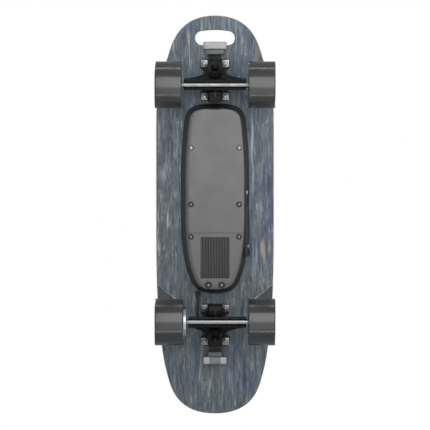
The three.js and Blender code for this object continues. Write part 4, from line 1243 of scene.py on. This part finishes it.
def add_world():
    """White behind the board, and a dim cool light all round it."""
    world = bpy.data.worlds.new("studio")
    bpy.context.scene.world = world
    world.use_nodes = True
    tree = world.node_tree
    seen = tree.nodes["Background"]
    seen.inputs["Color"].default_value = (1, 1, 1, 1)
    seen.inputs["Strength"].default_value = 1.0
    lit = add_node(tree, "ShaderNodeBackground", {"Color": (0.96, 0.98, 1, 1), "Strength": 0.4})
    by_camera = add_node(tree, "ShaderNodeLightPath").outputs["Is Camera Ray"]
    inputs = {"Fac": by_camera, 1: lit.outputs["Background"], 2: seen.outputs["Background"]}
    either = add_node(tree, "ShaderNodeMixShader", inputs)
    tree.links.new(either.outputs["Shader"], tree.nodes["World Output"].inputs["Surface"])


def add_area(name, place, target, size, power, mirrored=True, lit=True):
    """A rectangular lamp; it may be left out of reflections or of diffuse light."""
    data = bpy.data.lights.new(name, "AREA")
    data.shape = "RECTANGLE"
    data.size, data.size_y = size
    data.energy = power
    lamp = linked(name, data)
    lamp.location = place
    lamp.rotation_euler = (Vector(target) - Vector(place)).to_track_quat("-Z", "Y").to_euler()
    lamp.visible_camera = False
    lamp.visible_glossy = mirrored
    lamp.visible_diffuse = lit


def add_studio_lights():
    board = (0, 0, 0.1)
    add_area("below_bright", (0.4, -0.795, -1.7), (0.4, -0.795, 0), (1.5, 1.8), 20, lit=False)
    add_area("below_dim", (0.4, 0.755, -1.7), (0.4, 0.755, 0), (1.5, 1.3), 4.6, lit=False)
    add_area("below_wide", (0.4, -1.15, -0.95), (0.4, -1.15, 0), (3.4, 2.7), 28, mirrored=False)
    add_area("below_nose_strip", (0, -2.15, 0.04), (0, -0.25, 0.045), (1.8, 0.14), 4)
    add_area("below_tail_strip", (0, 1.9, -1.7), (0, 0.0, 0.05), (1.8, 0.12), 4)
    add_area("above_key", (-1.4, -1.3, 2.2), board, (1.6, 1.6), 62)
    add_area("above_fill", (1.7, 0.9, 1.6), board, (1.4, 1.4), 30)
    add_area("above_back", (-0.3, 1.5, 2.6), board, (1.8, 0.6), 20, mirrored=False)


def add_camera():
    """Far below the board and a little to its nose's side, with the nose up in the picture."""
    tilt, distance, view_height = math.radians(2), 12.0, 0.83
    centre = Vector((0, 0, 0.1))
    right = Vector((1, 0, 0))
    up = Vector((0, -math.cos(tilt), math.sin(tilt)))
    back = Vector((0, -math.sin(tilt), -math.cos(tilt)))
    data = bpy.data.cameras.new("camera")
    data.sensor_width = 36
    data.lens = data.sensor_width * distance / view_height
    camera = linked("camera", data)
    rotation = Matrix((right, up, back)).transposed().to_4x4()
    camera.matrix_world = Matrix.Translation(centre + back * distance) @ rotation
    bpy.context.scene.camera = camera
    bpy.context.scene.view_settings.view_transform = "Standard"


add_world()
add_studio_lights()
add_camera()
add_floor()
add_deck()
add_truck("front", FRONT_AXLE_Y, -1)
add_truck("rear", REAR_AXLE_Y, 1)
add_truck_bolts()
add_wheels()
add_enclosure()
add_lights()
add_motor_cable()
finish_cad_nodes()
